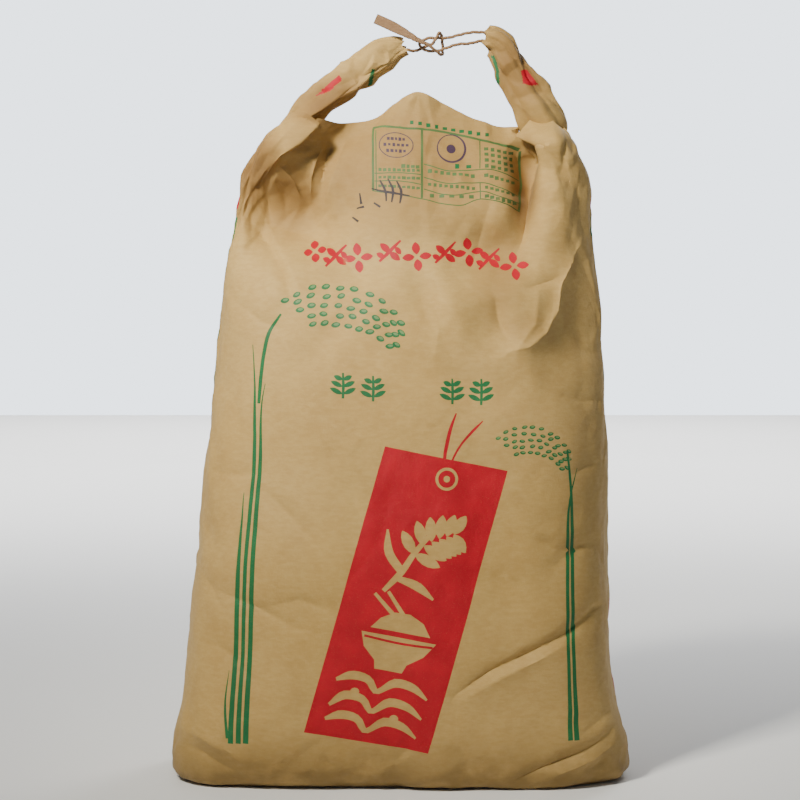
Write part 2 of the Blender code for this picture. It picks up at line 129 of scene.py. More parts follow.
# Sharp folds: (x, z) down the fold, height (+ stands out), and how far it reaches on its left and right
CREASE_GAIN = 1.25
CREASE_ENDS = 0.06      # share of half a sine wave that is left out at each end of a fold
CREASE_TAPER = 0.7
CREASES = [
    # left shoulder and the hollow beside it
    ([(-0.128, 0.612), (-0.11, 0.6195), (-0.092, 0.6195), (-0.078, 0.6165)], -0.0045, 0.005, 0.005),
    ([(-0.1485, 0.585), (-0.14, 0.566), (-0.137, 0.545)], -0.0035, 0.006, 0.006),
    ([(-0.1486, 0.5306), (-0.132, 0.5123), (-0.1173, 0.4907), (-0.1048, 0.4667), (-0.0999, 0.453)],
     -0.007, 0.01, 0.007),
    ([(-0.14, 0.552), (-0.1265, 0.524), (-0.108, 0.49), (-0.092, 0.46)], 0.0032, 0.01, 0.014),
    ([(-0.0688, 0.594), (-0.077, 0.5804), (-0.0823, 0.5631), (-0.0847, 0.5421)], 0.0055, 0.006, 0.007),
    ([(-0.0632, 0.597), (-0.0705, 0.5758), (-0.0747, 0.5517)], -0.0045, 0.004, 0.005),
    ([(-0.052, 0.6), (-0.0574, 0.5826), (-0.0646, 0.5594), (-0.0723, 0.5279)], 0.0045, 0.007, 0.012),
    ([(-0.1089, 0.57), (-0.1005, 0.5588), (-0.093, 0.542)], 0.004, 0.006, 0.005),
    ([(-0.116, 0.562), (-0.11, 0.548), (-0.107, 0.528)], -0.003, 0.005, 0.006),
    ([(-0.1261, 0.557), (-0.1246, 0.5374), (-0.1215, 0.5177)], -0.0035, 0.008, 0.006),
    ([(-0.1282, 0.5215), (-0.1018, 0.5139), (-0.0691, 0.5035), (-0.0504, 0.4841), (-0.0347, 0.4648)],
     -0.0042, 0.01, 0.012),
    ([(-0.1203, 0.4954), (-0.092, 0.4842), (-0.0642, 0.4786)], 0.0022, 0.009, 0.01),
    # right shoulder
    ([(0.1105, 0.603), (0.126, 0.59), (0.1255, 0.563), (0.1205, 0.54), (0.1135, 0.502)],
     -0.012, 0.011, 0.0025),
    ([(0.13, 0.6022), (0.1454, 0.5787), (0.1596, 0.5604), (0.1697, 0.5525)], -0.0042, 0.007, 0.007),
    ([(0.1403, 0.6115), (0.1483, 0.588), (0.1627, 0.568)], 0.0028, 0.005, 0.006),
    ([(0.1508, 0.6269), (0.1515, 0.5977), (0.1538, 0.5732)], -0.003, 0.005, 0.006),
    ([(0.12, 0.615), (0.139, 0.611), (0.158, 0.6)], -0.003, 0.006, 0.006),
    ([(0.108, 0.604), (0.118, 0.592), (0.123, 0.575)], 0.0026, 0.005, 0.005),
    ([(0.1784, 0.5166), (0.1616, 0.4844), (0.1497, 0.4649), (0.1456, 0.44), (0.135, 0.4199), (0.1189, 0.4073),
      (0.0984, 0.4029)], 0.0075, 0.007, 0.016),
    ([(0.0869, 0.4511), (0.0904, 0.4293), (0.0994, 0.412)], -0.0048, 0.01, 0.007),
    ([(0.1546, 0.4723), (0.1336, 0.4649), (0.1148, 0.4584)], -0.0032, 0.007, 0.005),
    ([(0.1269, 0.4566), (0.1248, 0.4282), (0.1068, 0.4056)], 0.003, 0.007, 0.008),
    ([(0.0845, 0.5438), (0.0755, 0.5118), (0.064, 0.4721)], -0.003, 0.014, 0.012),
    ([(0.1617, 0.4215), (0.1762, 0.4029), (0.2012, 0.3921)], -0.0028, 0.008, 0.008),
    ([(0.1464, 0.3625), (0.1705, 0.3554), (0.2014, 0.356)], -0.0024, 0.008, 0.008),
    # low on the right: a long fold and the creases of the corner
    ([(0.2024, 0.1648), (0.1807, 0.1648), (0.1552, 0.1467), (0.118, 0.1303), (0.0815, 0.1138),
      (0.0498, 0.092)], -0.0054, 0.005, 0.008),
    ([(0.1571, 0.138), (0.1272, 0.1235), (0.0952, 0.109), (0.0616, 0.09)], 0.003, 0.01, 0.007),
    ([(0.2026, 0.0566), (0.1798, 0.0415), (0.1573, 0.032), (0.1324, 0.0244), (0.1042, 0.014)],
     -0.005, 0.005, 0.007),
    ([(0.1997, 0.0392), (0.1781, 0.0276), (0.1519, 0.0188), (0.1245, 0.0095)], 0.0032, 0.005, 0.006),
    ([(0.201, 0.07), (0.189, 0.0662), (0.1663, 0.0506)], -0.0026, 0.005, 0.006),
    ([(0.1905, 0.0261), (0.1751, 0.0165)], -0.0022, 0.004, 0.004),
    # low on the left
    ([(-0.201, 0.0524), (-0.1788, 0.0481), (-0.1572, 0.0396), (-0.1397, 0.0261)], 0.0048, 0.006, 0.008),
    ([(-0.204, 0.0398), (-0.1789, 0.0342), (-0.1501, 0.0179)], -0.003, 0.005, 0.006),
    ([(-0.1737, 0.1867), (-0.1318, 0.1717), (-0.0878, 0.1492)], -0.0028, 0.008, 0.008),
    ([(-0.1773, 0.1373), (-0.1532, 0.1261), (-0.1254, 0.0956)], -0.0024, 0.006, 0.007),
    # faint ones in the middle
    ([(-0.1255, 0.2777), (-0.0997, 0.2549), (-0.0705, 0.2201)], -0.003, 0.008, 0.01),
    ([(-0.1943, 0.2587), (-0.182, 0.2433), (-0.1691, 0.2217)], -0.0026, 0.007, 0.007),
    ([(-0.0633, 0.2958), (-0.0434, 0.2707), (-0.0307, 0.2419)], -0.002, 0.009, 0.009),
    ([(0.02, 0.455), (0.035, 0.425), (0.032, 0.398)], 0.002, 0.01, 0.012),
    ([(-0.1754, 0.2916), (-0.154, 0.2891), (-0.1349, 0.2918)], -0.0022, 0.005, 0.006),
    ([(0.1583, 0.2903), (0.1751, 0.2964), (0.196, 0.3012)], -0.0026, 0.005, 0.006),
    ([(0.142, 0.2076), (0.1668, 0.2223), (0.2012, 0.2195)], -0.0022, 0.006, 0.006),
    ([(-0.191, 0.2059), (-0.1717, 0.1852), (-0.159, 0.161)], -0.0022, 0.006, 0.006),
    ([(-0.1525, 0.4492), (-0.1268, 0.4291), (-0.1052, 0.4219)], -0.0022, 0.007, 0.008),
    ([(-0.0633, 0.1695), (-0.0905, 0.1783), (-0.1198, 0.1722)], -0.0018, 0.007, 0.007),
    ([(-0.1612, 0.3752), (-0.1468, 0.3394), (-0.1484, 0.3121)], -0.0018, 0.007, 0.008),
    ([(0.183, 0.226), (0.15, 0.22), (0.12, 0.235)], -0.0022, 0.007, 0.007),
]

# The sheet: width of half of its girth, and the spacing of its points, fine in front and coarse behind
HALF_GIRTH = 0.55
FINE_STEP = 0.0026
COARSE_STEP = 0.0055
ROW_STEP = 0.87         # from one row of points to the next, in spacings
FINE_REACH = 0.6        # u up to which the fine spacing runs
EDGE_STEP = 0.004
CLEAR_OF_LINES = 0.0011     # how far loose points stay from printed outlines and from fold points
SEARCH_ROUNDS = 25      # rounds of the search for a front view's point on the sheet
# Points along the folds: from one line of them to the next, how far they reach to each side, and their step
PLEAT_POINTS = (0.0011, 0.0105, 0.0018)
CREASE_POINTS = (0.0016, 0.0032, 0.003)
FOLD_POINT_CELL = 0.0009    # a square of this size keeps one such point
FOLD_POINT_U = 0.47         # u up to which there are any
FOLD_POINT_CLEAR = 0.002    # how far they stay from the sheet's bottom and top
# The steps of printed outlines and strokes
LINE_STEP = 0.003
STROKE_STEP = 0.004
LEAF_POINT = 1.7        # how pointed a leaf's and a grain's ends are; 1 is an oval
GRAIN_POINT = 1.2

# Crumpled paper: how far its random points stray, in spacings; its large lumps; and its facets from large
# to small, as height, power of the roughness, slant on the sheet, spacing and seed
JITTER = 0.42
LUMPS = {"height": 0.003, "spacing": 0.085, "seed": 11}
CRUMPLES = [(0.0026, 1.0, 0.0, 0.058, 21), (0.0019, 1.3, 0.3, 0.027, 22), (0.0008, 1.4, -0.4, 0.0125, 23)]
# How rough the paper is all over, how much more at each of these places, and the most that it gets
ROUGH_ALL = 0.45
ROUGH_BEHIND = 0.45
ROUGH_TOP = 0.5
ROUGH_SIDES = 0.5
ROUGH_FLOOR = 0.8
ROUGH_HOLLOW = 1.0
ROUGH_SHOULDER = 0.9
ROUGH_MOST = 2

# The rolled mouth, as in the solids: centre, width direction, half-width, half-thickness
ROLL = [
    ((0.004, 0.002, 0.688), (-0.2, 0.0, 0.98), 0.0095, 0.007),
    ((-0.006, 0.002, 0.6845), (-0.45, 0.0, 0.89), 0.0125, 0.0085),
    ((-0.017, 0.002, 0.678), (-0.62, 0.0, 0.78), 0.014, 0.0095),
    ((-0.033, 0.002, 0.666), (-0.66, 0.0, 0.75), 0.0148, 0.0105),
    ((-0.05, 0.003, 0.6535), (-0.64, 0.0, 0.77), 0.0152, 0.011),
    ((-0.07, 0.006, 0.6385), (-0.6, 0.05, 0.8), 0.0155, 0.0115),
    ((-0.089, 0.012, 0.6235), (-0.5, 0.15, 0.85), 0.0165, 0.0115),
    ((-0.1, 0.024, 0.604), (-0.3, 0.2, 0.93), 0.018, 0.011),
    ((-0.085, 0.034, 0.59), (-0.1, 0.1, 0.99), 0.0195, 0.0105),
    ((-0.045, 0.037, 0.588), (0.0, 0.05, 1.0), 0.0205, 0.0105),
    ((0.01, 0.037, 0.598), (0.0, 0.0, 1.0), 0.0215, 0.011),
    ((0.065, 0.037, 0.59), (0.0, 0.05, 1.0), 0.0215, 0.0105),
    ((0.11, 0.034, 0.587), (0.1, 0.1, 0.99), 0.0215, 0.0105),
    ((0.136, 0.022, 0.594), (0.5, 0.2, 0.84), 0.0235, 0.0115),
    ((0.1395, 0.008, 0.609), (0.85, 0.1, 0.52), 0.024, 0.0135),
    ((0.128, 0.0, 0.63), (0.87, 0.0, 0.49), 0.0215, 0.014),
    ((0.114, 0.0, 0.652), (0.88, 0.0, 0.47), 0.0185, 0.0125),
    ((0.103, 0.0, 0.6735), (0.88, 0.0, 0.48), 0.0165, 0.011),
    ((0.0925, 0.001, 0.69), (0.68, 0.0, 0.73), 0.0145, 0.009),
    ((0.08, 0.002, 0.697), (0.3, 0.0, 0.95), 0.01, 0.007),
]
ROLL_STATIONS = 400
ROLL_SIDES = 96
ROLL_STEP = 0.006
LEFT_ARM_ENDS = 0.36    # share of the roll's length where the left arm goes behind the shoulder
RIGHT_ARM_STARTS = 0.68
ROLL_GIRTH = 0.08
ROLL_SQUARENESS = 2.2
ARM_LESS_SQUARE = 0.75
LEFT_RIDGE = -0.42      # how far the front of each arm leans to one side, in half-widths
RIGHT_RIDGE = 0.1
LAYER_EDGE = 2.2        # where round the roll its outer layer ends, and how far it steps in there
LAYER_STEP = 0.1
LAYER_LESS_ON_ARM = 0.6
# Ridges of gathered paper: how fast they repeat round the roll and along it, and how much they wander
GATHERS = (2.5, 14, 1.5)
FOLDS_ACROSS = (1.5, 75, 2.5)
# How high coarse crumples, gathers, folds across and fine crumples are, on the arms and behind
ARM_BULGE = (0.0034, 0.0016, 0.0013, 0.002)
RIGHT_ARM_BULGE = (0.001, 0.0014, 0.0, 0.0)
BEHIND_BULGE = (0.0016, 0.0, 0.0, 0.0008)
# The arms' ragged ends: sides to a rag, its depth and how far along the arm it reaches
RAG_SIDES = 4
RAG_DEPTH = 0.0026
RAG_REACH = 0.014
# The rings that close an arm's end: scale, and how far in
END_RINGS = [(0.86, 0.0004), (0.8, 0.003), (0.52, 0.0034), (0.46, 0.006), (0.15, 0.0062)]

# The ties, as in the solids, in the knot's own frame
CORD_RADIUS = 0.0016
CORD_GAP = 0.0013
CORD_TUCK = 0.004       # how far a cord's end goes into the arm
KNOT = Vector((0.03, 0.002, 0.689))
LOOP_ROUTE = [(0.04, 0.0, 0.012), (0.027, 0.0, 0.0098), (0.015, 0.0, 0.0068),
              (0.005, 0.0, 0.0066), (-0.005, 0.0, 0.006), (-0.0118, 0.0, 0.0006),
              (-0.0055, 0.0, -0.005), (0.0045, 0.0, -0.0054), (0.014, 0.0, -0.0026),
              (0.024, 0.0, 0.0006), (0.036, 0.0, 0.0016)]
LOOP_EXITS = [(0.0032, 0.0), (-0.0055, 0.0)]
LEFT_ROUTE = [(-0.017, 0.003, -0.0052), (-0.0125, 0.0052, -0.0038), (-0.008, 0.0056, -0.0016),
              (-0.003, 0.001, 0.0), (0.001, -0.0046, 0.0012), (0.0045, -0.0052, 0.0066),
              (0.0072, -0.001, 0.0112), (0.0092, 0.0046, 0.0092), (0.0102, 0.0058, 0.001),
              (0.0104, 0.0044, -0.0066), (0.0088, -0.001, -0.0092), (0.0046, -0.006, -0.0068),
              (-0.003, -0.0092, -0.001), (-0.012, -0.01, 0.003), (-0.025, -0.01, 0.01),
              (-0.039, -0.01, 0.0172), (-0.053, -0.01, 0.0235)]
LEFT_EXIT = (-0.004, 0.0)
TAIL_HALF_WIDTH = 0.0048
TAIL_HALF_THICKNESS = 0.0013
TAIL_FROM = 0.6
TAIL_OPEN = 0.9
TAIL_UPRIGHT = 0.35
# The fold line along the tail, in its half-thickness and half-width, and how much of it shows behind
TAIL_GROOVE = 0.75
TAIL_GROOVE_AT = -0.38
TAIL_GROOVE_WIDTH = 0.16
TAIL_GROOVE_BEHIND = 0.2
CORD_SIDES = 16
CORD_POINTS_PER_METRE = 3600
TWIST_PITCH = 0.0085

# Colours, linear
PAPER = (0.472, 0.302, 0.094)
PAPER_DARK = (0.385, 0.232, 0.066)
PAPER_PALE = (0.545, 0.37, 0.142)
# Painted shade: the darker brown given to the paper where the front's hollows, folds and the arms' lower
# faces are in shade
PAPER_PAINTED_SHADE = (0.225, 0.118, 0.032)
CORD_PAPER = (0.27, 0.155, 0.075)
CREASE_AND_FLOOR_DARKENING = (0.55, 0.45)   # how dark the creases are, with dirt and painted shade, and how dark the paper near the floor is, with dirt and painted shade, against the dark paper
INK_SHADES = (0.84, 1.1)
# Painted shade: where the front's paper is darkened on the top, in its hollows, its folds and under the arms,
# as (x, z), half-widths and how much
PAINTED_SHADE_SPOTS = [
    ((-0.01, 0.58), (0.13, 0.08), 0.6),
    ((-0.106, 0.545), (0.044, 0.044), 0.8),
    ((-0.14, 0.572), (0.04, 0.058), 1.0),
    ((-0.062, 0.634), (0.062, 0.032), 0.95),
    ((0.108, 0.668), (0.045, 0.055), 0.85),
    ((0.092, 0.47), (0.03, 0.06), 0.5),
    ((0.117, 0.56), (0.014, 0.048), 1.0),
    ((0.11, 0.425), (0.03, 0.02), 0.4),
]
PAINTED_SHADE_Y = -0.03
PAINTED_SHADE_DEEP = 0.085
INKS = {
    "red": (0.43, 0.003, 0.014),
    "green": (0.01, 0.13, 0.04),
    "pale_green": (0.072, 0.145, 0.045),
    "mint": (0.13, 0.25, 0.09),
    "stamp": (0.062, 0.034, 0.066),
    "pen": (0.03, 0.022, 0.03),
}
# Parts of printed shapes that show on the arms' front, as ink and outline in the front view
ARM_MARKS = [
    ("red", [(-0.0797, 0.6411), (-0.069, 0.651), (-0.0568, 0.6605), (-0.0545, 0.655), (-0.067, 0.645)]),
    ("green", [(-0.0234, 0.665), (-0.0262, 0.666), (-0.029, 0.658), (-0.03, 0.651), (-0.0268, 0.6515)]),
    ("red", [(0.1134, 0.664), (0.1191, 0.6655), (0.13, 0.651), (0.1219, 0.6495), (0.1154, 0.6514)]),
    ("green", [(0.0858, 0.6784), (0.0884, 0.6794), (0.093, 0.6664), (0.0938, 0.648), (0.0908, 0.649),
               (0.0905, 0.664)]),
]
INK_ORDER = ["paper", *INKS]


def through(knots, at):
    """A smooth curve through (position, value) knots, held to its end values outside them."""
    x = np.array([k[0] for k in knots], float)
    y = np.array([k[1] for k in knots], float)
    at = np.clip(np.asarray(at, float), x[0], x[-1])
    secant = np.diff(y) / np.diff(x)
    slope = np.concatenate([secant[:1], (secant[1:] + secant[:-1]) / 2, secant[-1:]])
    slope[1:-1][secant[1:] * secant[:-1] <= 0] = 0.0
    i = np.clip(np.searchsorted(x, at, side="right") - 1, 0, len(x) - 2)
    width = x[i + 1] - x[i]
    t = (at - x[i]) / width
    return ((2 * t**3 - 3 * t**2 + 1) * y[i] + (t**3 - 2 * t**2 + t) * width * slope[i]
            + (3 * t**2 - 2 * t**3) * y[i + 1] + (t**3 - t**2) * width * slope[i + 1])


def smooth_step(low, high, value):
    """Rises from 0 at low to 1 at high."""
    t = np.clip((value - low) / (high - low), 0.0, 1.0)
    return t * t * (3 - 2 * t)


def beside(line, x, z):
    """Signed distance from a polyline, share along it and the way across it."""
    best = np.full(x.shape, 1e9)
    signed, share = np.zeros(x.shape), np.zeros(x.shape)
    across_x, across_z = np.ones(x.shape), np.zeros(x.shape)
    count = len(line) - 1
    for k in range(count):
        (x0, z0), (x1, z1) = line[k], line[k + 1]
        dx, dz = x1 - x0, z1 - z0
        length = math.hypot(dx, dz)
        t = np.clip(((x - x0) * dx + (z - z0) * dz) / length**2, 0, 1)
        away = np.hypot(x - x0 - t * dx, z - z0 - t * dz)
        side = np.sign((x - x0) * -dz + (z - z0) * dx)
        nearer = away < best
        best = np.where(nearer, away, best)
        signed = np.where(nearer, away * side, signed)
        share = np.where(nearer, (k + t) / count, share)
        across_x = np.where(nearer, -dz / length, across_x)
        across_z = np.where(nearer, dx / length, across_z)
    return signed, share, across_x, across_z


def plain_wall(u, h):
    """The bag's wall before its folds at u (0 front, 0.5 right, 1 back) and a nominal height.

    Also how much it faces the front, from 1 to -1 at the back.
    """
    angle = math.pi * u - CORNER_CROWDING * np.sin(2 * math.pi * u)
    across, along = np.sin(angle), np.cos(angle)
    square = through(SQUARENESS, h)
    reach = (np.abs(across)**square + np.abs(along)**square)**(-1 / square)
    across, along = across * reach, along * reach
    left, right = through(LEFT_SIDE, h), through(RIGHT_SIDE, h)
    x = (left + right) / 2 + (right - left) / 2 * across
    y = -through(HALF_DEPTH, h) * along
    rise = smooth_step(SHOULDER_Z, TOP_Z, h)
    climb = np.clip((h - SHOULDER_Z) / (TOP_Z - SHOULDER_Z), 0, 1)
    z = h + climb * rise**0.5 * (through(TOP_EDGE, across) - TOP_Z)
    y = y - rise * through(TOP_FORWARD, across)
    return x, y, z, along


def to_sheet(x, z):
    """Where points of the front view lie on the sheet: its width and nominal height, in metres."""
    x, z = np.asarray(x, float), np.asarray(z, float)
    u = np.clip(x / 0.4, -0.45, 0.45)
    h = np.clip(z, 0.001, TOP_Z - 0.001)
    tiny = 1e-4
    for _ in range(SEARCH_ROUNDS):
        at_x, _, at_z, _ = plain_wall(u, h)
        side_x, _, side_z, _ = plain_wall(u + tiny, h)
        low_x, _, low_z, _ = plain_wall(u, h - tiny)
        a, b = (side_x - at_x) / tiny, (at_x - low_x) / tiny
        c, d = (side_z - at_z) / tiny, (at_z - low_z) / tiny
        det = a * d - b * c
        off_x, off_z = x - at_x, z - at_z
        u = np.clip(u + np.clip((d * off_x - b * off_z) / det, -0.05, 0.05), -0.5, 0.5)
        h = np.clip(h + np.clip((a * off_z - c * off_x) / det, -0.03, 0.03), 0.0003, TOP_Z - 0.0003)
    return u * HALF_GIRTH, h


def folded(x, y, z, fronting):
    """The front wall's points moved into its pleats, hollows and creases."""
    front = np.clip(fronting * RELIEF_REACH, 0, 1)
    out = np.zeros(x.shape)
    shift_x, shift_z = np.zeros(x.shape), np.zeros(x.shape)
    for pleat in PLEATS:
        away, share, across_x, across_z = beside(pleat["line"], x, z)
        strength = (1 - share)**pleat["fade"]
        lap = 0.5 * (1 + np.tanh(pleat["outer"] * away / PLEAT_SOFT))
        out += pleat["step"] * strength * lap
        slide = -pleat["lap"] * strength * away * np.exp(-(away / pleat["reach"])**2)
        shift_x += slide * across_x
        shift_z += slide * across_z
    for (cx, cz), (wide, high), turn, depth in DENTS:
        c, s = math.cos(math.radians(turn)), math.sin(math.radians(turn))
        dx, dz = x - cx, z - cz
        out -= depth * np.exp(-((c * dx - s * dz) / wide)**2 - ((s * dx + c * dz) / high)**2)
    for line, height, reach_left, reach_right in CREASES:
        away, share, _, _ = beside(line, x, z)
        taper = np.sin(math.pi * (CREASE_ENDS + (1 - 2 * CREASE_ENDS) * share))**CREASE_TAPER
        reach = np.where(away > 0, reach_right, reach_left)
        out += CREASE_GAIN * height * taper * np.exp(-np.abs(away) / reach)
    tuck = smooth_step(*TUCK_Z, z) * smooth_step(*TUCK_X, x)
    y = y - front * out
    return x + shift_x * front - TUCK_IN * tuck, y + tuck * (TUCK_Y - y), z + shift_z * front


def lumps(width, height, spacing, seed):
    """Smooth noise from -1 to 1 over the sheet, which meets itself at the back."""
    pick = np.random.default_rng(seed)
    columns = max(3, round(2 * HALF_GIRTH / spacing))
    rows = math.ceil(0.8 / spacing) + 2
    grid = pick.uniform(-1, 1, (rows, columns))
    a = (width + HALF_GIRTH) / (2 * HALF_GIRTH) * columns
    b = np.clip(height / spacing + 0.5, 0, rows - 1.001)
    i, j = np.floor(a).astype(int), np.floor(b).astype(int)
    s, t = a - i, b - j
    s, t = s * s * (3 - 2 * s), t * t * (3 - 2 * t)
    low = grid[j, i % columns] * (1 - s) + grid[j, (i + 1) % columns] * s
    high = grid[j + 1, i % columns] * (1 - s) + grid[j + 1, (i + 1) % columns] * s
    return low * (1 - t) + high * t


def facets(width, height, spacing, seed, period=2 * HALF_GIRTH, top=0.66):
    """Crumpled paper from -1 to 1: facets between random points, which meet themselves after a period."""
    pick = random.Random(seed)
    columns = max(3, round(period / spacing))
    rows = math.ceil((top + 2 * spacing) / spacing)
    points, heights = [], []
    for j in range(rows + 1):
        for i in range(columns):
            a = (i + 0.5 * (j % 2) + pick.uniform(-JITTER, JITTER)) * period / columns - period / 2
            b = (j + pick.uniform(-JITTER, JITTER)) * spacing - spacing
            lift = pick.uniform(-1, 1)
            for copy in (-1, 0, 1):
                if abs(a + copy * period) < period / 2 + 2.5 * spacing:
                    points.append(Vector((a + copy * period, b)))
                    heights.append(lift)
    found, _, triangles, origin = delaunay_2d_cdt(points, [], [], 0, 1e-7)[:4]
    corners = [Vector((p.x, p.y, heights[o[0]])) for p, o in zip(found, origin)]
    tree = BVHTree.FromPolygons(corners, triangles)
    down = Vector((0, 0, -1))
    values = np.zeros(len(width))
    for k, (a, b) in enumerate(zip(width, height)):
        hit = tree.ray_cast(Vector((a, b, 2)), down)[0]
        if hit is not None:
            values[k] = hit.z
    return values


def running(steps):
    """The distance of each point from a line's start, from the lengths of the line's steps."""
    return np.concatenate([[0], np.cumsum(steps)])


def length_of(points):
    """The length of a line through points."""
    return sum(math.dist(a, b) for a, b in zip(points, points[1:]))


def dense_outline(points):
    """A closed outline with points put in between, at most a step apart."""
    out = []
    for (x0, z0), (x1, z1) in zip(points, points[1:] + points[:1]):
        count = max(1, math.ceil(math.hypot(x1 - x0, z1 - z0) / LINE_STEP))
        out += [(x0 + (x1 - x0) * k / count, z0 + (z1 - z0) * k / count) for k in range(count)]
    return out


def curve_points(points, count):
    """Points on a smooth curve through a few points."""
    run = running([math.dist(a, b) for a, b in zip(points, points[1:])])
    at = np.linspace(0, run[-1], count)
    return list(zip(*[through(list(zip(run, column)), at) for column in zip(*points)]))


def across_line(path, k):
    """The unit direction across a path at its point k."""
    (x0, z0), (x1, z1) = path[max(k - 1, 0)], path[min(k + 1, len(path) - 1)]
    length = math.hypot(x1 - x0, z1 - z0)
    return -(z1 - z0) / length, (x1 - x0) / length


def ribbon(points, widths):
    """The outline of a stroke along the points, with widths given at even distances along it."""
    count = max(6, round(length_of(points) / STROKE_STEP))
    path = curve_points(points, count)
    breadth = through(list(zip(np.linspace(0, 1, len(widths)), widths)), np.linspace(0, 1, count))
    left, right = [], []
    for k, (x, z) in enumerate(path):
        nx, nz = [side * breadth[k] / 2 for side in across_line(path, k)]
        left.append((x + nx, z + nz))
        right.append((x - nx, z - nz))
    return left + right[::-1]


def oval_outline(cx, cz, wide, high, turn=0.0, count=16, power=1.0):
    """The outline of an oval; a power above 1 points its two ends."""
    c, s = math.cos(turn), math.sin(turn)
    out = []
    for k in range(count):
        a = 2 * math.pi * k / count
        p, q = wide * math.cos(a), high * math.copysign(abs(math.sin(a))**power, math.sin(a))
        out.append((cx + c * p - s * q, cz + s * p + c * q))
    return out


def leaf(x, z, length, width, turn):
    """A pointed leaf from its foot, turned from the right anticlockwise."""
    middle = x + math.cos(turn) * length / 2, z + math.sin(turn) * length / 2
    return oval_outline(*middle, length / 2, width / 2, turn, 14, LEAF_POINT)


class Print:
    """The inked shapes on the sheet, later ones over earlier ones."""

    def __init__(self):
        self.shapes = []
        self.in_front = True    # whether shapes are given in the front view, or on the sheet itself

    def add(self, ink, outline):
        self.shapes.append((ink, list(outline), self.in_front))

    def on_sheet(self):
        """Every shape as its ink and its outline on the sheet, turned anticlockwise."""
        fronts = [p for _, outline, in_front in self.shapes if in_front for p in outline]
        placed = iter(zip(*to_sheet(*zip(*fronts))))
        out = []
        for ink, outline, in_front in self.shapes:
            points = [next(placed) if in_front else p for p in outline]
            points = [(float(a), float(b)) for a, b in points]
            area = sum(a[0] * b[1] - b[0] * a[1] for a, b in zip(points, points[1:] + points[:1]))
            out.append((ink, points if area > 0 else points[::-1]))
        return out


TAG_CORNERS = [(-0.0136, 0.3176), (0.0978, 0.2947), (0.0255, 0.0378), (-0.0872, 0.0575)]


def on_tag(across, down):
    """A point of the tag, from its top left corner: shares across and down it."""
    (ax, az), (bx, bz), (cx, cz), (dx, dz) = TAG_CORNERS
    top = (ax + (bx - ax) * across, az + (bz - az) * across)
    low = (dx + (cx - dx) * across, dz + (cz - dz) * across)
    return (top[0] + (low[0] - top[0]) * down, top[1] + (low[1] - top[1]) * down)


def print_tag(sheet):
    """The red tag with its ring, its string and three plain drawings of a rice ear, a bowl and a field."""
    sheet.add("red", dense_outline(TAG_CORNERS))
    sheet.add("red", ribbon([(0.0416, 0.2942), (0.0405, 0.306), (0.0425, 0.3185), (0.0461, 0.3338),
                             (0.0512, 0.3473)], [0.002, 0.003, 0.0034, 0.0028, 0.0012]))
    sheet.add("red", ribbon([(0.045, 0.295), (0.0479, 0.3054), (0.0552, 0.3185), (0.0652, 0.3301),
                             (0.0752, 0.34)], [0.0016, 0.0018, 0.002, 0.0024, 0.001]))
    ring = (0.0425, 0.2879)
    sheet.add("paper", oval_outline(*ring, 0.0104, 0.0104, count=32))
    sheet.add("red", oval_outline(*ring, 0.0078, 0.0078, count=28))
    sheet.add("paper", oval_outline(*ring, 0.003, 0.003, count=12))

    def stroke(points, widths):
        sheet.add("paper", ribbon([on_tag(*p) for p in points], [0.001 * w for w in widths]))

    # A rice ear
    stroke([(0.3, 0.475), (0.4, 0.4), (0.47, 0.32), (0.6, 0.245), (0.74, 0.235)], [4, 6, 5, 4, 2])
    for k in range(6):
        t = k / 5
        foot = on_tag(0.46 + 0.26 * t, 0.335 - 0.09 * t**0.6)
        sheet.add("paper", leaf(*foot, 0.024 - 0.004 * t, 0.0105, math.radians(118 - 62 * t)))
        sheet.add("paper", leaf(*foot, 0.026 - 0.006 * t, 0.0105, math.radians(-28 - 30 * t)))
    stroke([(0.41, 0.405), (0.26, 0.345), (0.2, 0.27)], [7, 8, 2])
    stroke([(0.38, 0.425), (0.55, 0.44), (0.7, 0.475)], [5, 8, 2])
    # A bowl of rice with two sticks
    bowl = [(0.22, 0.622), (0.27, 0.672), (0.38, 0.712), (0.4, 0.742), (0.62, 0.742), (0.64, 0.712),
            (0.75, 0.674), (0.82, 0.622)]
    rice = [(0.28, 0.604), (0.34, 0.566), (0.44, 0.54), (0.56, 0.538), (0.68, 0.562), (0.76, 0.604)]
    for outline in (bowl, rice):
        sheet.add("paper", dense_outline([on_tag(*p) for p in outline]))
    stroke([(0.24, 0.488), (0.44, 0.552)], [3, 4])
    stroke([(0.34, 0.474), (0.52, 0.55)], [3, 4])
    sheet.add("red", ribbon([on_tag(0.25, 0.636), on_tag(0.52, 0.642), on_tag(0.8, 0.636)], [0.0022, 0.0022]))
    # Three bands of water
    for level, lift in ((0.8, 0.0), (0.87, 0.02), (0.94, 0.0)):
        stroke([(0.13, level + lift), (0.24, level - 0.022), (0.38, level - 0.016), (0.47, level + 0.02),
                (0.6, level - 0.022), (0.74, level - 0.016), (0.87, level + 0.016)], [3, 8, 7, 5, 8, 7, 2])
    sheet.add("paper", oval_outline(*on_tag(0.3, 0.832), 0.0042, 0.0036, count=12))
    sheet.add("paper", oval_outline(*on_tag(0.66, 0.902), 0.0042, 0.0036, count=12))


HEADER = [(-0.079, 0.495), (-0.059, 0.489), (-0.0385, 0.488), (-0.0092, 0.4932), (0.0156, 0.4895),
          (0.0422, 0.4923), (0.0633, 0.4933), (0.0826, 0.4859), (0.1058, 0.4796)]
GREEN_ROW = [(-0.0517, 0.372), (-0.0245, 0.3695), (0.0476, 0.367), (0.0739, 0.3663)]


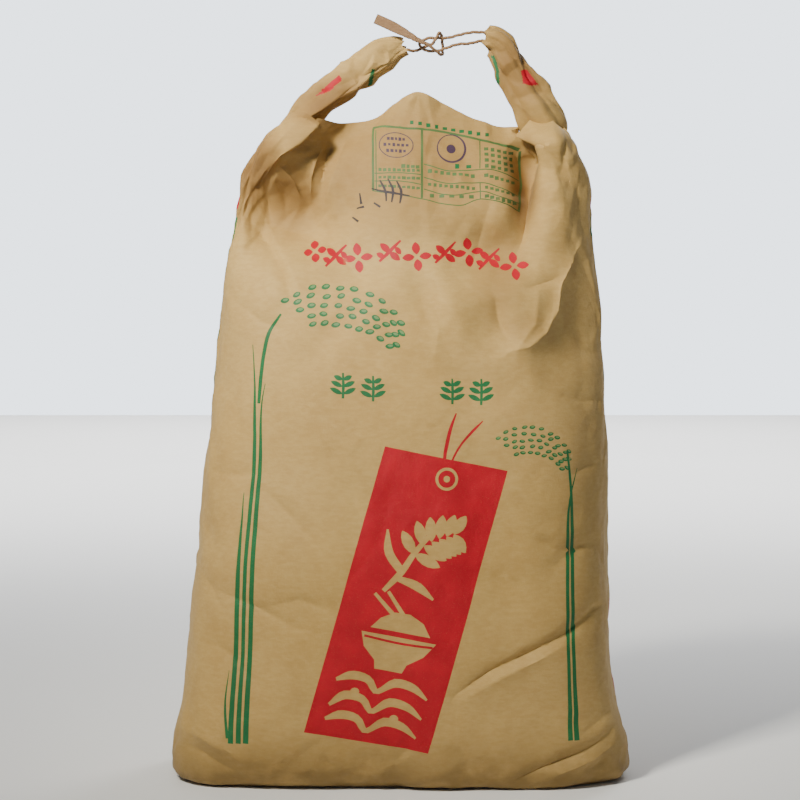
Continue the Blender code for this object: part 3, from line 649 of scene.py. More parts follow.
def print_rows(sheet):
    """A row of red flower lozenges and leaf pairs, and four green sprigs below it."""
    for k, (x, z) in enumerate(HEADER):
        size = 0.0115 if k else 0.0085
        if k % 2 == 0:
            for quarter in range(4):
                turn = math.pi / 2 * quarter + 0.12
                foot = (x + math.cos(turn) * 0.0022, z + math.sin(turn) * 0.0022)
                sheet.add("red", leaf(*foot, size, 0.0078 if quarter % 2 else 0.0068, turn))
        else:
            sheet.add("red", ribbon([(x - size * 0.85, z - size * 0.75), (x, z + size * 0.1),
                                     (x + size * 0.85, z + size * 0.95)], [0.002, 0.0034, 0.0016]))
            for side, turn in ((-1, 2.45), (1, -0.65)):
                sheet.add("red", leaf(x - side * 0.0004, z, size * 1.05, 0.0066, turn))
                sheet.add("red", leaf(x + side * size * 0.42, z + side * size * 0.42, size * 0.72, 0.0052,
                                      turn - side * 0.25))
    for x, z in GREEN_ROW:
        stem = [(x, z - 0.0115), (x + 0.0004, z), (x, z + 0.0115)]
        sheet.add("green", ribbon(stem, [0.0022, 0.0026, 0.0018]))
        for level, length in ((-0.0075, 0.0125), (-0.001, 0.0115), (0.0052, 0.0085)):
            sheet.add("green", leaf(x - 0.0004, z + level, length, 0.0046, math.radians(155)))
            sheet.add("green", leaf(x + 0.0004, z + level, length, 0.0046, math.radians(25)))


def print_ear(sheet, arc, rows, per_row, row_step, size, seed):
    """A bent rice ear: rows of grains below an arc, each grain green with a pale top."""
    pick = random.Random(seed)
    for row in range(rows):
        inset = 0.06 * row
        count = per_row - (row + 1) // 2
        path = curve_points(arc, 60)
        for k in range(count):
            t = inset + (1 - 1.6 * inset) * (k + 0.5 * (row % 2)) / max(count - 1, 1)
            x, z = path[min(int(np.clip(t, 0, 0.999) * 60), 59)]
            x += pick.uniform(-0.1, 0.1) * size
            z += pick.uniform(-0.12, 0.12) * size - row * row_step
            turn = math.radians(18 - 40 * t) + pick.uniform(-0.3, 0.3)
            long, short = size * pick.uniform(0.44, 0.52), size * pick.uniform(0.27, 0.32)
            sheet.add("green", oval_outline(x, z, long, short, turn, 14, GRAIN_POINT))
            x, z = x + size * 0.05, z + size * 0.07
            sheet.add("mint", oval_outline(x, z, long * 0.6, short * 0.5, turn, 10, GRAIN_POINT))


def print_rice(sheet):
    """Two rice plants: grain ears, stalks and upright leaves as plain stripes."""
    print_ear(sheet, [(-0.105, 0.449), (-0.078, 0.4615), (-0.043, 0.459), (-0.013, 0.445), (0.001, 0.429)],
              5, 10, 0.0085, 0.0086, 3)
    print_ear(sheet, [(0.0895, 0.325), (0.106, 0.3335), (0.128, 0.333), (0.147, 0.3215), (0.1555, 0.3105)],
              5, 10, 0.0058, 0.0057, 4)
    stripe = [
        ([(-0.1091, 0.4365), (-0.1192, 0.4209), (-0.1243, 0.4017), (-0.1267, 0.3826), (-0.129, 0.355)],
         [0.002, 0.0034, 0.0036, 0.0036, 0.003]),
        ([(-0.1227, 0.373), (-0.126, 0.356), (-0.1281, 0.3038), (-0.1327, 0.2133), (-0.1404, 0.046)],
         [0.0006, 0.0038, 0.0042, 0.0044, 0.0052]),
        ([(-0.1357, 0.4085), (-0.133, 0.3634), (-0.1339, 0.3036), (-0.1392, 0.213), (-0.1473, 0.0457)],
         [0.0006, 0.0034, 0.0036, 0.0036, 0.0048]),
        ([(-0.1428, 0.274), (-0.1457, 0.2127), (-0.15, 0.129), (-0.1543, 0.0454)],
         [0.0006, 0.004, 0.0044, 0.0048]),
        ([(-0.156, 0.112), (-0.159, 0.082), (-0.157, 0.05)], [0.0004, 0.002, 0.003]),
        ([(0.1539, 0.3114), (0.1564, 0.2895), (0.1596, 0.212), (0.1593, 0.1582), (0.1623, 0.0468)],
         [0.0018, 0.003, 0.0034, 0.0036, 0.005]),
        ([(0.1632, 0.295), (0.1562, 0.265), (0.1552, 0.2123), (0.1543, 0.1586), (0.1563, 0.0471)],
         [0.0005, 0.003, 0.0033, 0.0034, 0.0047]),
    ]
    for points, widths in stripe:
        sheet.add("green", ribbon(points, widths))


def dashes(sheet, ink, start, end, count, size, seed):
    """A row of small blocks that stand for a line of small print."""
    pick = random.Random(seed)
    for k in range(count):
        t = (k + 0.5) / count
        x, z = start[0] + (end[0] - start[0]) * t, start[1] + (end[1] - start[1]) * t
        wide, high = [side * pick.uniform(0.75, 1.1) / 2 for side in size]
        left, right, low, top = x - wide, x + wide, z - high, z + high
        lean = pick.uniform(-0.2, 0.2) * wide
        sheet.add(ink, [(left, low + lean), (right, low), (right, top), (left, top)])


def print_table(sheet):
    """The form under the top edge, with blank dashes for its small print, two stamps and pen strokes."""
    thick, thin = 0.0021, 0.001
    for width, points in (
        (thick, [(-0.0251, 0.611), (-0.0246, 0.55)]),
        (thin, [(-0.0222, 0.608), (-0.0217, 0.551)]),
        (thick, [(-0.0255, 0.6112), (0.0216, 0.6092), (0.047, 0.6066), (0.0743, 0.6003), (0.1, 0.594),
                 (0.112, 0.589)]),
        (thick, [(0.1129, 0.588), (0.1125, 0.56), (0.1092, 0.532)]),
        (thick, [(0.0206, 0.6085), (0.0203, 0.5434)]),
        (thin, [(0.0753, 0.599), (0.0747, 0.5722)]),
        (thin, [(0.0747, 0.5588), (0.0745, 0.543)]),
        (thin, [(-0.0233, 0.5664), (0.0, 0.5668), (0.0204, 0.565)]),
        (thin, [(-0.0233, 0.5592), (0.0, 0.559), (0.0204, 0.556)]),
        (thin, [(0.0222, 0.5756), (0.0484, 0.57), (0.0737, 0.5712), (0.0937, 0.5689), (0.111, 0.561)]),
        (thin, [(0.0222, 0.5632), (0.0483, 0.5577), (0.0735, 0.5588), (0.0934, 0.5535), (0.11, 0.5462)]),
        (thin, [(-0.0251, 0.5502), (0.0213, 0.5425), (0.0555, 0.5369), (0.0742, 0.5427), (0.093, 0.5393),
                (0.11, 0.531)]),
        (thin, [(0.0222, 0.552), (0.049, 0.5465), (0.074, 0.55), (0.094, 0.544), (0.109, 0.539)]),
    ):
        sheet.add("pale_green", ribbon(points, [width, width]))
    for seed, (ink, start, end, count, size) in enumerate((
        ("green", (0.007, 0.6165), (0.086, 0.604), 10, (0.0042, 0.0036)),
        ("pale_green", (0.001, 0.5735), (0.0185, 0.5722), 4, (0.0036, 0.0032)),
        ("pale_green", (-0.0205, 0.57), (0.019, 0.5688), 9, (0.0034, 0.003)),
        ("pale_green", (-0.0205, 0.5628), (0.019, 0.5615), 9, (0.0034, 0.003)),
        ("pale_green", (-0.0205, 0.5548), (0.019, 0.5525), 9, (0.0034, 0.0026)),
        ("pale_green", (0.025, 0.5695), (0.071, 0.565), 8, (0.0038, 0.0034)),
        ("pale_green", (0.025, 0.557), (0.071, 0.553), 9, (0.0036, 0.0034)),
        ("green", (0.048, 0.5745), (0.07, 0.5745), 2, (0.0046, 0.004)),
        ("pale_green", (0.025, 0.5462), (0.071, 0.545), 5, (0.0044, 0.0038)),
    ), 1):
        dashes(sheet, ink, start, end, count, size, seed)
    for row, level in enumerate((0.5915, 0.586, 0.58, 0.5745)):
        dashes(sheet, "pale_green", (0.078, level), (0.108, level - 0.005), 5, (0.0042, 0.0036), 10 + row)
    for row, level in enumerate((0.566, 0.5545, 0.546)):
        dashes(sheet, "pale_green", (0.078, level), (0.1075, level - 0.008), 6, (0.0036, 0.0034), 20 + row)
    # A ring stamp with a dot, and an oval one with rows of dashes
    sheet.add("stamp", oval_outline(0.0485, 0.5914, 0.014, 0.014, count=40))
    sheet.add("paper", oval_outline(0.0481, 0.5918, 0.0124, 0.0126, count=36))
    sheet.add("stamp", oval_outline(0.048, 0.591, 0.0044, 0.0046, count=16))
    sheet.add("stamp", oval_outline(-0.0033, 0.5931, 0.016, 0.0122, count=36))
    sheet.add("paper", oval_outline(-0.0033, 0.5931, 0.0151, 0.0114, count=36))
    for level, half, count in ((0.599, 0.0085, 5), (0.5933, 0.012, 6), (0.5876, 0.0095, 5)):
        start, end = (-0.0033 - half, level), (-0.0033 + half, level)
        dashes(sheet, "stamp", start, end, count, (0.0026, 0.003), count)
    # Pen strokes, like a tally
    for points, widths in (
        ([(-0.0185, 0.56), (-0.013, 0.549), (-0.0125, 0.54)], [0.0014, 0.0024, 0.0012]),
        ([(-0.011, 0.561), (-0.006, 0.549), (-0.0075, 0.539)], [0.0012, 0.0024, 0.0014]),
        ([(-0.003, 0.559), (0.0015, 0.548), (0.0, 0.538)], [0.0012, 0.0026, 0.0014]),
        ([(-0.026, 0.552), (-0.008, 0.548), (0.009, 0.545)], [0.001, 0.0024, 0.0012]),
        ([(-0.024, 0.539), (-0.018, 0.535)], [0.0016, 0.002]),
        ([(-0.037, 0.548), (-0.0355, 0.538)], [0.0012, 0.0024]),
        ([(-0.04, 0.534), (-0.033, 0.5355)], [0.0014, 0.002]),
        ([(-0.044, 0.526), (-0.038, 0.5215)], [0.0014, 0.0022]),
    ):
        sheet.add("pen", ribbon(points, widths))


def block(sheet, middle, half, top, low):
    """A plain red block on the sheet."""
    left, right = middle - half, middle + half
    sheet.add("red", dense_outline([(left, top), (right, top), (right, low), (left, low)]))


def print_sides_and_back(sheet):
    """Stripes and blocks on the two sides, and on the back a plain tag and a rice plant like the front's."""
    sheet.in_front = False
    for side in (-1, 1):
        middle = side * 0.5 * HALF_GIRTH
        block(sheet, middle, 0.014, 0.548, 0.536)
        for offset in (-0.012, 0.0, 0.012):
            sheet.add("green", ribbon([(middle + offset, 0.528), (middle + offset, 0.35)], [0.004, 0.004]))
        block(sheet, middle, 0.012, 0.165, 0.07)
        sheet.add("paper", oval_outline(middle, 0.15, 0.005, 0.005, count=16))
    sheet.add("red", dense_outline([(-0.506, 0.335), (-0.421, 0.318), (-0.455, 0.1), (-0.54, 0.117)]))
    sheet.add("paper", oval_outline(-0.466, 0.311, 0.008, 0.008, count=28))
    sheet.add("red", oval_outline(-0.466, 0.311, 0.0058, 0.0058, count=24))
    print_ear(sheet, [(0.43, 0.392), (0.452, 0.406), (0.48, 0.408), (0.503, 0.398), (0.52, 0.38)],
              4, 9, 0.0078, 0.008, 6)
    sheet.add("green", ribbon([(0.428, 0.382), (0.42, 0.35), (0.418, 0.24), (0.422, 0.06)],
                              [0.002, 0.0036, 0.004, 0.005]))
    sheet.add("green", ribbon([(0.413, 0.34), (0.411, 0.24), (0.413, 0.06)], [0.0006, 0.0036, 0.0048]))
    sheet.add("green", ribbon([(0.404, 0.26), (0.403, 0.15), (0.404, 0.06)], [0.0006, 0.0036, 0.0046]))
    sheet.in_front = True


def sheet_points(shapes, lines):
    """The loose points of the sheet, kept clear of the printed outlines and of the fold lines."""
    out = []
    rows = round(TOP_Z / (FINE_STEP * ROW_STEP))
    reach = FINE_REACH * HALF_GIRTH
    count = round(2 * reach / FINE_STEP)
    for j in range(1, rows):
        out += [((k + 0.5 * (j % 2)) / count * 2 * reach - reach, TOP_Z * j / rows) for k in range(count)]
    rows = round(TOP_Z / (COARSE_STEP * ROW_STEP))
    reach = (1 - FINE_REACH) * HALF_GIRTH
    count = round(reach / COARSE_STEP)
    for j in range(1, rows):
        for side in (-1, 1):
            out += [(side * (HALF_GIRTH - reach * (k + 0.5 * (j % 2)) / count), TOP_Z * j / rows)
                    for k in range(1, count)]
    fixed = [p for _, outline in shapes for p in outline] + lines
    tree = kdtree.KDTree(len(fixed))
    for k, (a, b) in enumerate(fixed):
        tree.insert((a, b, 0), k)
    tree.balance()
    return [p for p in out if tree.find((*p, 0))[2] > CLEAR_OF_LINES]


def fold_points():
    """Points along the pleats and creases, so that they stay sharp."""
    out = []
    rows = [(pleat["line"], *PLEAT_POINTS) for pleat in PLEATS]
    rows += [(line, *CREASE_POINTS) for line, _, _, _ in CREASES]
    for line, gap, reach, step in rows:
        path = curve_points(line, max(4, round(length_of(line) / step)))
        lines = round(reach / gap)
        for k, (x, z) in enumerate(path):
            side_x, side_z = across_line(path, k)
            out += [(x + side_x * j * gap, z + side_z * j * gap) for j in range(-lines, lines + 1)]
    kept = {}
    for a, b in zip(*to_sheet(*zip(*out))):
        if FOLD_POINT_CLEAR < b < TOP_Z - FOLD_POINT_CLEAR and abs(a) < FOLD_POINT_U * HALF_GIRTH:
            kept.setdefault((int(a / FOLD_POINT_CELL), int(b / FOLD_POINT_CELL)), (float(a), float(b)))
    return list(kept.values())


def edge_points():
    """The sheet's border: its two edges, which meet at the back, and its bottom and top."""
    rows = round(TOP_Z / COARSE_STEP)
    count = round(HALF_GIRTH / EDGE_STEP)
    edge = [(side * HALF_GIRTH, TOP_Z * j / rows) for side in (-1, 1) for j in range(rows + 1)]
    across = [HALF_GIRTH * k / count for k in range(-count + 1, count)]
    return edge + [(a, h) for a in across for h in (0.0, TOP_Z)]


def bag_sheet():
    """The bag's wall as one sheet: its points, its triangles and the ink of each."""
    sheet = Print()
    for draw in (print_tag, print_rows, print_rice, print_table, print_sides_and_back):
        draw(sheet)
    shapes = sheet.on_sheet()
    folds = fold_points()
    loose = sheet_points(shapes, folds) + folds + edge_points()
    points = [Vector(p) for p in loose]
    faces = []
    for _, outline in shapes:
        faces.append(list(range(len(points), len(points) + len(outline))))
        points += [Vector(p) for p in outline]
    found, _, triangles, _, _, origin = delaunay_2d_cdt(points, [], faces, 0, 1e-6)
    inks = [INK_ORDER.index(shapes[max(o)][0]) if o else 0 for o in origin]
    return np.array([tuple(p) for p in found]), triangles, inks


def crumple(width, height, x, z, fronting):
    """How far the paper stands out of its smooth form."""
    near_top = smooth_step(0.44, 0.58, height)
    near_side = 1 - smooth_step(0.15, 0.75, np.abs(fronting))
    near_floor = 1 - smooth_step(0.02, 0.1, height)
    hollow = np.exp(-((x + 0.098) / 0.045)**2 - ((z - 0.555) / 0.05)**2) * (fronting > 0)
    shoulder = np.exp(-((x - 0.145) / 0.03)**2 - ((z - 0.6) / 0.032)**2)
    behind = smooth_step(0.0, 0.6, -fronting)
    rough = ROUGH_ALL + ROUGH_BEHIND * behind + ROUGH_TOP * near_top + ROUGH_SIDES * near_side
    rough = rough + ROUGH_FLOOR * near_floor + ROUGH_HOLLOW * hollow + ROUGH_SHOULDER * shoulder
    rough = np.clip(rough, 0, ROUGH_MOST)
    out = LUMPS["height"] * lumps(width, height, LUMPS["spacing"], LUMPS["seed"])
    for size, power, slant, spacing, seed in CRUMPLES:
        out += size * rough**power * facets(width + slant * height, height, spacing, seed)
    return out * smooth_step(0.0, 0.006, height)


def link(name, mesh, materials):
    """A new object of a mesh with its materials."""
    for material in materials:
        mesh.materials.append(material)
    obj = bpy.data.objects.new(name, mesh)
    SCENE.objects.link(obj)
    return obj


def bridge(build, first, second, smooth=True):
    """Joins two rings of as many points with four-sided faces."""
    out = []
    for k in range(len(first)):
        after = (k + 1) % len(first)
        out.append(build.faces.new((first[k], first[after], second[after], second[k])))
        out[-1].smooth = smooth
    return out


def finished(build, name, sharp_from, fold_gain):
    """The mesh of what was built. Its field fold says how far each point stands out, for wear along folds and
    for dirt and painted shade in creases.
    """
    bmesh.ops.recalc_face_normals(build, faces=build.faces)
    mesh = bpy.data.meshes.new(name)
    build.to_mesh(mesh)
    build.free()
    mesh.set_sharp_from_angle(angle=math.radians(sharp_from))
    count = len(mesh.vertices)
    points, normals = np.empty(count * 3), np.empty(count * 3)
    mesh.vertices.foreach_get("co", points)
    mesh.vertices.foreach_get("normal", normals)
    points, normals = points.reshape(-1, 3), normals.reshape(-1, 3)
    ends = np.empty(len(mesh.edges) * 2, np.int64)
    mesh.edges.foreach_get("vertices", ends)
    ends = ends.reshape(-1, 2)
    both_ways = [ends.T, ends.T[::-1]]
    total, weight = np.zeros((count, 3)), np.zeros(count)
    span = np.linalg.norm(points[ends[:, 0]] - points[ends[:, 1]], axis=1) + 1e-9
    for here, there in both_ways:
        np.add.at(total, here, (points[there] - points[here]) / span[:, None]**2)
        np.add.at(weight, here, 1)
    proud = -np.einsum("ij,ij->i", total / weight[:, None], normals) * fold_gain
    for _ in range(2):
        spread, shares = proud.copy(), np.ones(count)
        for here, there in both_ways:
            np.add.at(spread, here, proud[there])
            np.add.at(shares, here, 1)
        proud = spread / shares
    field = mesh.attributes.new("fold", "FLOAT", "POINT")
    field.data.foreach_set("value", np.clip(proud, -1, 1).astype(np.float32))
    return mesh


def bag_mesh():
    """The bag: the printed sheet wrapped round, welded at the back, with its bottom and its top closed."""
    flat, triangles, inks = bag_sheet()
    width, h = flat[:, 0], flat[:, 1]
    x, y, z, fronting = plain_wall(width / HALF_GIRTH, h)
    x, y, z = folded(x, y, z, fronting)
    lift = crumple(width, h, x, z, fronting)
    build = bmesh.new()
    verts = [build.verts.new(p) for p in zip(x, y, z)]
    for corners, ink in zip(triangles, inks):
        face = build.faces.new([verts[k] for k in corners])
        face.material_index = ink
        face.smooth = True
    build.normal_update()
    for vert, up in zip(verts, lift):
        vert.co += vert.normal * (up if vert.normal.length > 0.5 else 0)
        vert.co.z = max(vert.co.z, 0.0)
    around = sorted(range(len(h)), key=lambda k: width[k])
    floor = [verts[k] for k in around if h[k] < 1e-5][:-1]
    centre = build.verts.new((0, 0, 0))
    for first, second in zip(floor, floor[1:] + floor[:1]):
        build.faces.new((centre, second, first))
    # The top's front half runs from the left side to the right one; the back half is joined to it.
    high = [k for k in around if h[k] > TOP_Z - 1e-5]
    ring = [verts[k] for k in high]
    left, right = [min(range(len(high)), key=lambda k: abs(width[high[k]] / HALF_GIRTH - side))
                   for side in (-0.5, 0.5)]
    bridge_strip(build, ring[left:right + 1], ring[:left + 1][::-1] + ring[right:-1][::-1])
    pairs = {}
    for k in range(len(h)):
        if abs(width[k]) > HALF_GIRTH - 1e-6:
            pairs.setdefault(round(h[k] * 1e6), []).append(verts[k])
    for seam in pairs.values():
        if len(seam) == 2:
            middle = (seam[0].co + seam[1].co) / 2
            seam[0].co, seam[1].co = middle, middle
    bmesh.ops.remove_doubles(build, verts=[v for seam in pairs.values() for v in seam], dist=1e-6)
    return finished(build, "bag", 42, 0.0035)


def bridge_strip(build, first, second):
    """Joins two rows of points that start and end at the same sides with triangles, by their x."""
    i = j = 0
    while i < len(first) - 1 or j < len(second) - 1:
        ahead = j >= len(second) - 1 or (i < len(first) - 1 and first[i + 1].co.x < second[j + 1].co.x)
        corners = [first[i], first[i + 1], second[j]] if ahead else [first[i], second[j + 1], second[j]]
        if len(set(corners)) == 3 and build.faces.get(corners) is None:
            build.faces.new(corners).smooth = True
        if ahead:
            i += 1
        else:
            j += 1


def roll_station(share):
    """The rolled band's centre, its directions ahead, across and through, and its half-sizes."""
    shares = np.linspace(0, 1, len(ROLL))
    rows = np.array([(*centre, *wide, a, b) for centre, wide, a, b in ROLL])

    def at(where):
        return [float(through(list(zip(shares, column)), where)) for column in rows.T]

    values = at(share)
    after, before = Vector(at(min(share + ROLL_STEP, 1))[:3]), Vector(at(max(share - ROLL_STEP, 0))[:3])
    ahead = (after - before).normalized()
    thick = ahead.cross(Vector(values[3:6])).normalized()
    return Vector(values[:3]), ahead, thick.cross(ahead), thick, values[6], values[7]


def roll_mesh():
    """The rolled mouth with its two arms: layers behind, gathers along the arms, ragged open ends."""
    pick = random.Random(5)
    shares = np.linspace(0, 1, ROLL_STATIONS)
    stations = [roll_station(s) for s in shares]
    run = running([(b[0] - a[0]).length for a, b in zip(stations, stations[1:])])
    top = run[-1] + 0.05
    angle = np.arange(ROLL_SIDES) * 2 * math.pi / ROLL_SIDES
    along = np.repeat(run, ROLL_SIDES)
    around = np.tile(angle / (2 * math.pi) * ROLL_GIRTH - ROLL_GIRTH / 2, ROLL_STATIONS)
    rough = facets(around * 3, along, 0.03, 31, 3 * ROLL_GIRTH, top).reshape(ROLL_STATIONS, -1)
    fine = facets(around, along, 0.012, 32, ROLL_GIRTH, top).reshape(ROLL_STATIONS, -1)
    wander = facets(np.full(ROLL_STATIONS, 0.0), run, 0.045, 33, 0.3, top)
    rag = [pick.uniform(-1, 1) for _ in range(ROLL_SIDES // RAG_SIDES)]
    build = bmesh.new()
    rows = []
    for j, (centre, ahead, wide, thick, half_width, half_thick) in enumerate(stations):
        left_arm = 1 - float(smooth_step(LEFT_ARM_ENDS - 0.06, LEFT_ARM_ENDS + 0.02, shares[j]))
        right_arm = float(smooth_step(RIGHT_ARM_STARTS, RIGHT_ARM_STARTS + 0.06, shares[j]))
        arm = max(left_arm, right_arm)
        power = ROLL_SQUARENESS - ARM_LESS_SQUARE * arm
        end = max(0.0, 1 - min(run[j], run[-1] - run[j]) / RAG_REACH)
        row = []
        for k, a in enumerate(angle):
            p, q = math.cos(a), math.sin(a)
            reach = (abs(p)**power + abs(q)**power)**(-1 / power)
            p, q = p * reach, q * reach
            p += (1 - abs(p)) * max(-q, 0) * (LEFT_RIDGE * left_arm + RIGHT_RIDGE * right_arm)
            turn = ((a - LAYER_EDGE) / (2 * math.pi)) % 1
            layer = 1 - LAYER_STEP * turn * (1 - LAYER_LESS_ON_ARM * arm)
            gathers, across = [abs(math.sin(around_it * a + along_it * run[j] + bend * wander[j])) - 0.6
                               for around_it, along_it, bend in (GATHERS, FOLDS_ACROSS)]
            bulge = 0.0
            for amount, heights in ((arm, ARM_BULGE), (right_arm, RIGHT_ARM_BULGE), (1 - arm, BEHIND_BULGE)):
                bulge += amount * sum(map(operator.mul, heights, (rough[j, k], gathers, across, fine[j, k])))
            point = centre + wide * (p * half_width * layer) + thick * (q * half_thick * layer)
            outward = (wide * (p / half_width) + thick * (q / half_thick)).normalized()
            part = k % RAG_SIDES / RAG_SIDES
            torn = rag[k // RAG_SIDES] * (1 - part) + rag[(k // RAG_SIDES + 1) % len(rag)] * part
            row.append(build.verts.new(point + (outward * bulge + ahead * (RAG_DEPTH * torn * end))))
        rows.append(row)
    for lower, upper in zip(rows, rows[1:]):
        for face in bridge(build, lower, upper):
            face.material_index = arm_ink(face.calc_center_median())
    for row, (centre, ahead, *_), sign in ((rows[0], stations[0], 1), (rows[-1], stations[-1], -1)):
        previous = row
        for scale, deep in END_RINGS:
            inner = [build.verts.new(centre + (v.co - centre) * scale + ahead * (sign * deep)) for v in row]
            bridge(build, previous, inner, smooth=False)
            previous = inner
        build.faces.new(previous)
    return finished(build, "rolled_mouth", 40, 0.003)


def inside(x, z, outline):
    """Whether a point of the front view is inside an outline."""
    odd = False
    for (x0, z0), (x1, z1) in zip(outline, outline[1:] + outline[:1]):
        if (z0 > z) != (z1 > z) and x < x0 + (z - z0) / (z1 - z0) * (x1 - x0):
            odd = not odd
    return odd


def arm_ink(place):
    """The ink of the arms' front at a place: parts of printed shapes that show where the mouth is rolled."""
    if place.y < 0.004:
        for ink, outline in ARM_MARKS:
            if inside(place.x, place.z, outline):
                return INK_ORDER.index(ink)
    return 0


def smooth_route(points):
    """Evenly spaced points on a smooth curve through the points, and its length."""
    lengths = running([(b - a).length for a, b in zip(points, points[1:])])
    at = np.linspace(0, lengths[-1], 400)
    curve = np.stack([through(list(zip(lengths, column)), at) for column in zip(*points)], axis=1)
    run = running(np.linalg.norm(np.diff(curve, axis=0), axis=1))
    even = np.linspace(0, run[-1], round(run[-1] * CORD_POINTS_PER_METRE))
    return [Vector([np.interp(t, run, curve[:, k]) for k in range(3)]) for t in even], run[-1]


def arm_end(share, offset, out):
    """A point off an arm's end face, offset from its middle across the band's width and through it."""
    centre, ahead, wide, thick, _, _ = roll_station(share)
    outward = ahead if share > 0.5 else -ahead
    return centre + wide * offset[0] + thick * offset[1] + outward * out


def cord_mesh(name, points, length, tail):
    """A cord of twisted paper; with a tail, it opens out into a folded tape towards its end."""
    build = bmesh.new()
    rows = []
    last = len(points) - 1
    wide = None
    for j, point in enumerate(points):
        ahead = (points[min(j + 1, last)] - points[max(j - 1, 0)]).normalized()
        opened = float(smooth_step(TAIL_FROM, TAIL_OPEN, j / last)) if tail else 0.0
        half_width = CORD_RADIUS + (TAIL_HALF_WIDTH - CORD_RADIUS) * opened
        half_thick = CORD_RADIUS + (TAIL_HALF_THICKNESS - CORD_RADIUS) * opened
        wide = (ahead.orthogonal() if wide is None else wide - ahead * wide.dot(ahead)).normalized()
        if opened > 0:
            upright = Vector((0, 0, 1)) - ahead * ahead.z
            wide = wide.lerp(upright.normalized(), TAIL_UPRIGHT).normalized()
        thick = ahead.cross(wide)
        turn = 2 * math.pi * j / last * length / TWIST_PITCH
        row = []
        for k in range(CORD_SIDES):
            a = 2 * math.pi * k / CORD_SIDES
            twisted = 1.02 - 0.26 * abs(math.cos((a - turn) / 2))**6 - 0.1 * abs(math.sin(a * 1.5 - turn))
            p, q = math.cos(a), math.sin(a)
            groove = opened * TAIL_GROOVE * math.exp(-((p - TAIL_GROOVE_AT) / TAIL_GROOVE_WIDTH)**2)
            if q * thick.y >= 0:
                groove *= TAIL_GROOVE_BEHIND
            p_size = half_width * (twisted * (1 - opened) + opened)
            q_size = half_thick * (twisted * (1 - opened) + opened * (1 - groove))
            row.append(build.verts.new(point + wide * p * p_size + thick * q * q_size))
        rows.append(row)
    for lower, upper in zip(rows, rows[1:]):
        bridge(build, lower, upper)
    build.faces.new(rows[0][::-1])
    build.faces.new(rows[-1])
    return finished(build, name, 50, 0.0006)


class Nodes:
    """A new material's node tree, with short ways to add to it."""

    def __init__(self, name):
        self.material = bpy.data.materials.new(name)
        self.material.use_nodes = True
        self.tree = self.material.node_tree
        self.shader = self.tree.nodes["Principled BSDF"]

    def put(self, value, socket):
        """Links an output to a socket, or sets the socket to a number or a colour."""
        if isinstance(value, bpy.types.NodeSocket):
            self.tree.links.new(value, socket)
        else:
            colour = socket.type == "RGBA" and len(value) == 3
            socket.default_value = (*value, 1) if colour else value

    def add(self, kind, inputs=None, **settings):
        node = self.tree.nodes.new(kind)
        for key, value in settings.items():
            setattr(node, key, value)
        for key, value in (inputs or {}).items():
            self.put(value, node.inputs[key])
        return node

    def set(self, **inputs):
        for key, value in inputs.items():
            self.put(value, self.shader.inputs[key.replace("_", " ")])

    def ramp(self, value, low, high):
        """Turns the range from low to high into 0 to 1."""
        return self.add("ShaderNodeMapRange", {"Value": value, "From Min": low, "From Max": high},
                        interpolation_type="SMOOTHSTEP").outputs[0]

    def stretch(self, place, *scale):
        return self.add("ShaderNodeMapping", {"Vector": place, "Scale": scale}).outputs[0]

    def noise(self, place, scale, detail=3.0, rough=0.5):
        return self.add("ShaderNodeTexNoise", {"Vector": place, "Scale": scale, "Detail": detail,
                                               "Roughness": rough}).outputs["Fac"]

    def mix(self, amount, first, second):
        return self.add("ShaderNodeMix", {0: amount, 6: first, 7: second}, data_type="RGBA").outputs[2]

    def maths(self, operation, first, second):
        return self.add("ShaderNodeMath", {0: first, 1: second}, operation=operation).outputs[0]

    def times(self, first, second):
        return self.maths("MULTIPLY", first, second)

    def part(self, value, low, high, amount):
        """Turns the range from low to high into 0 to an amount."""
        return self.times(self.ramp(value, low, high), amount)


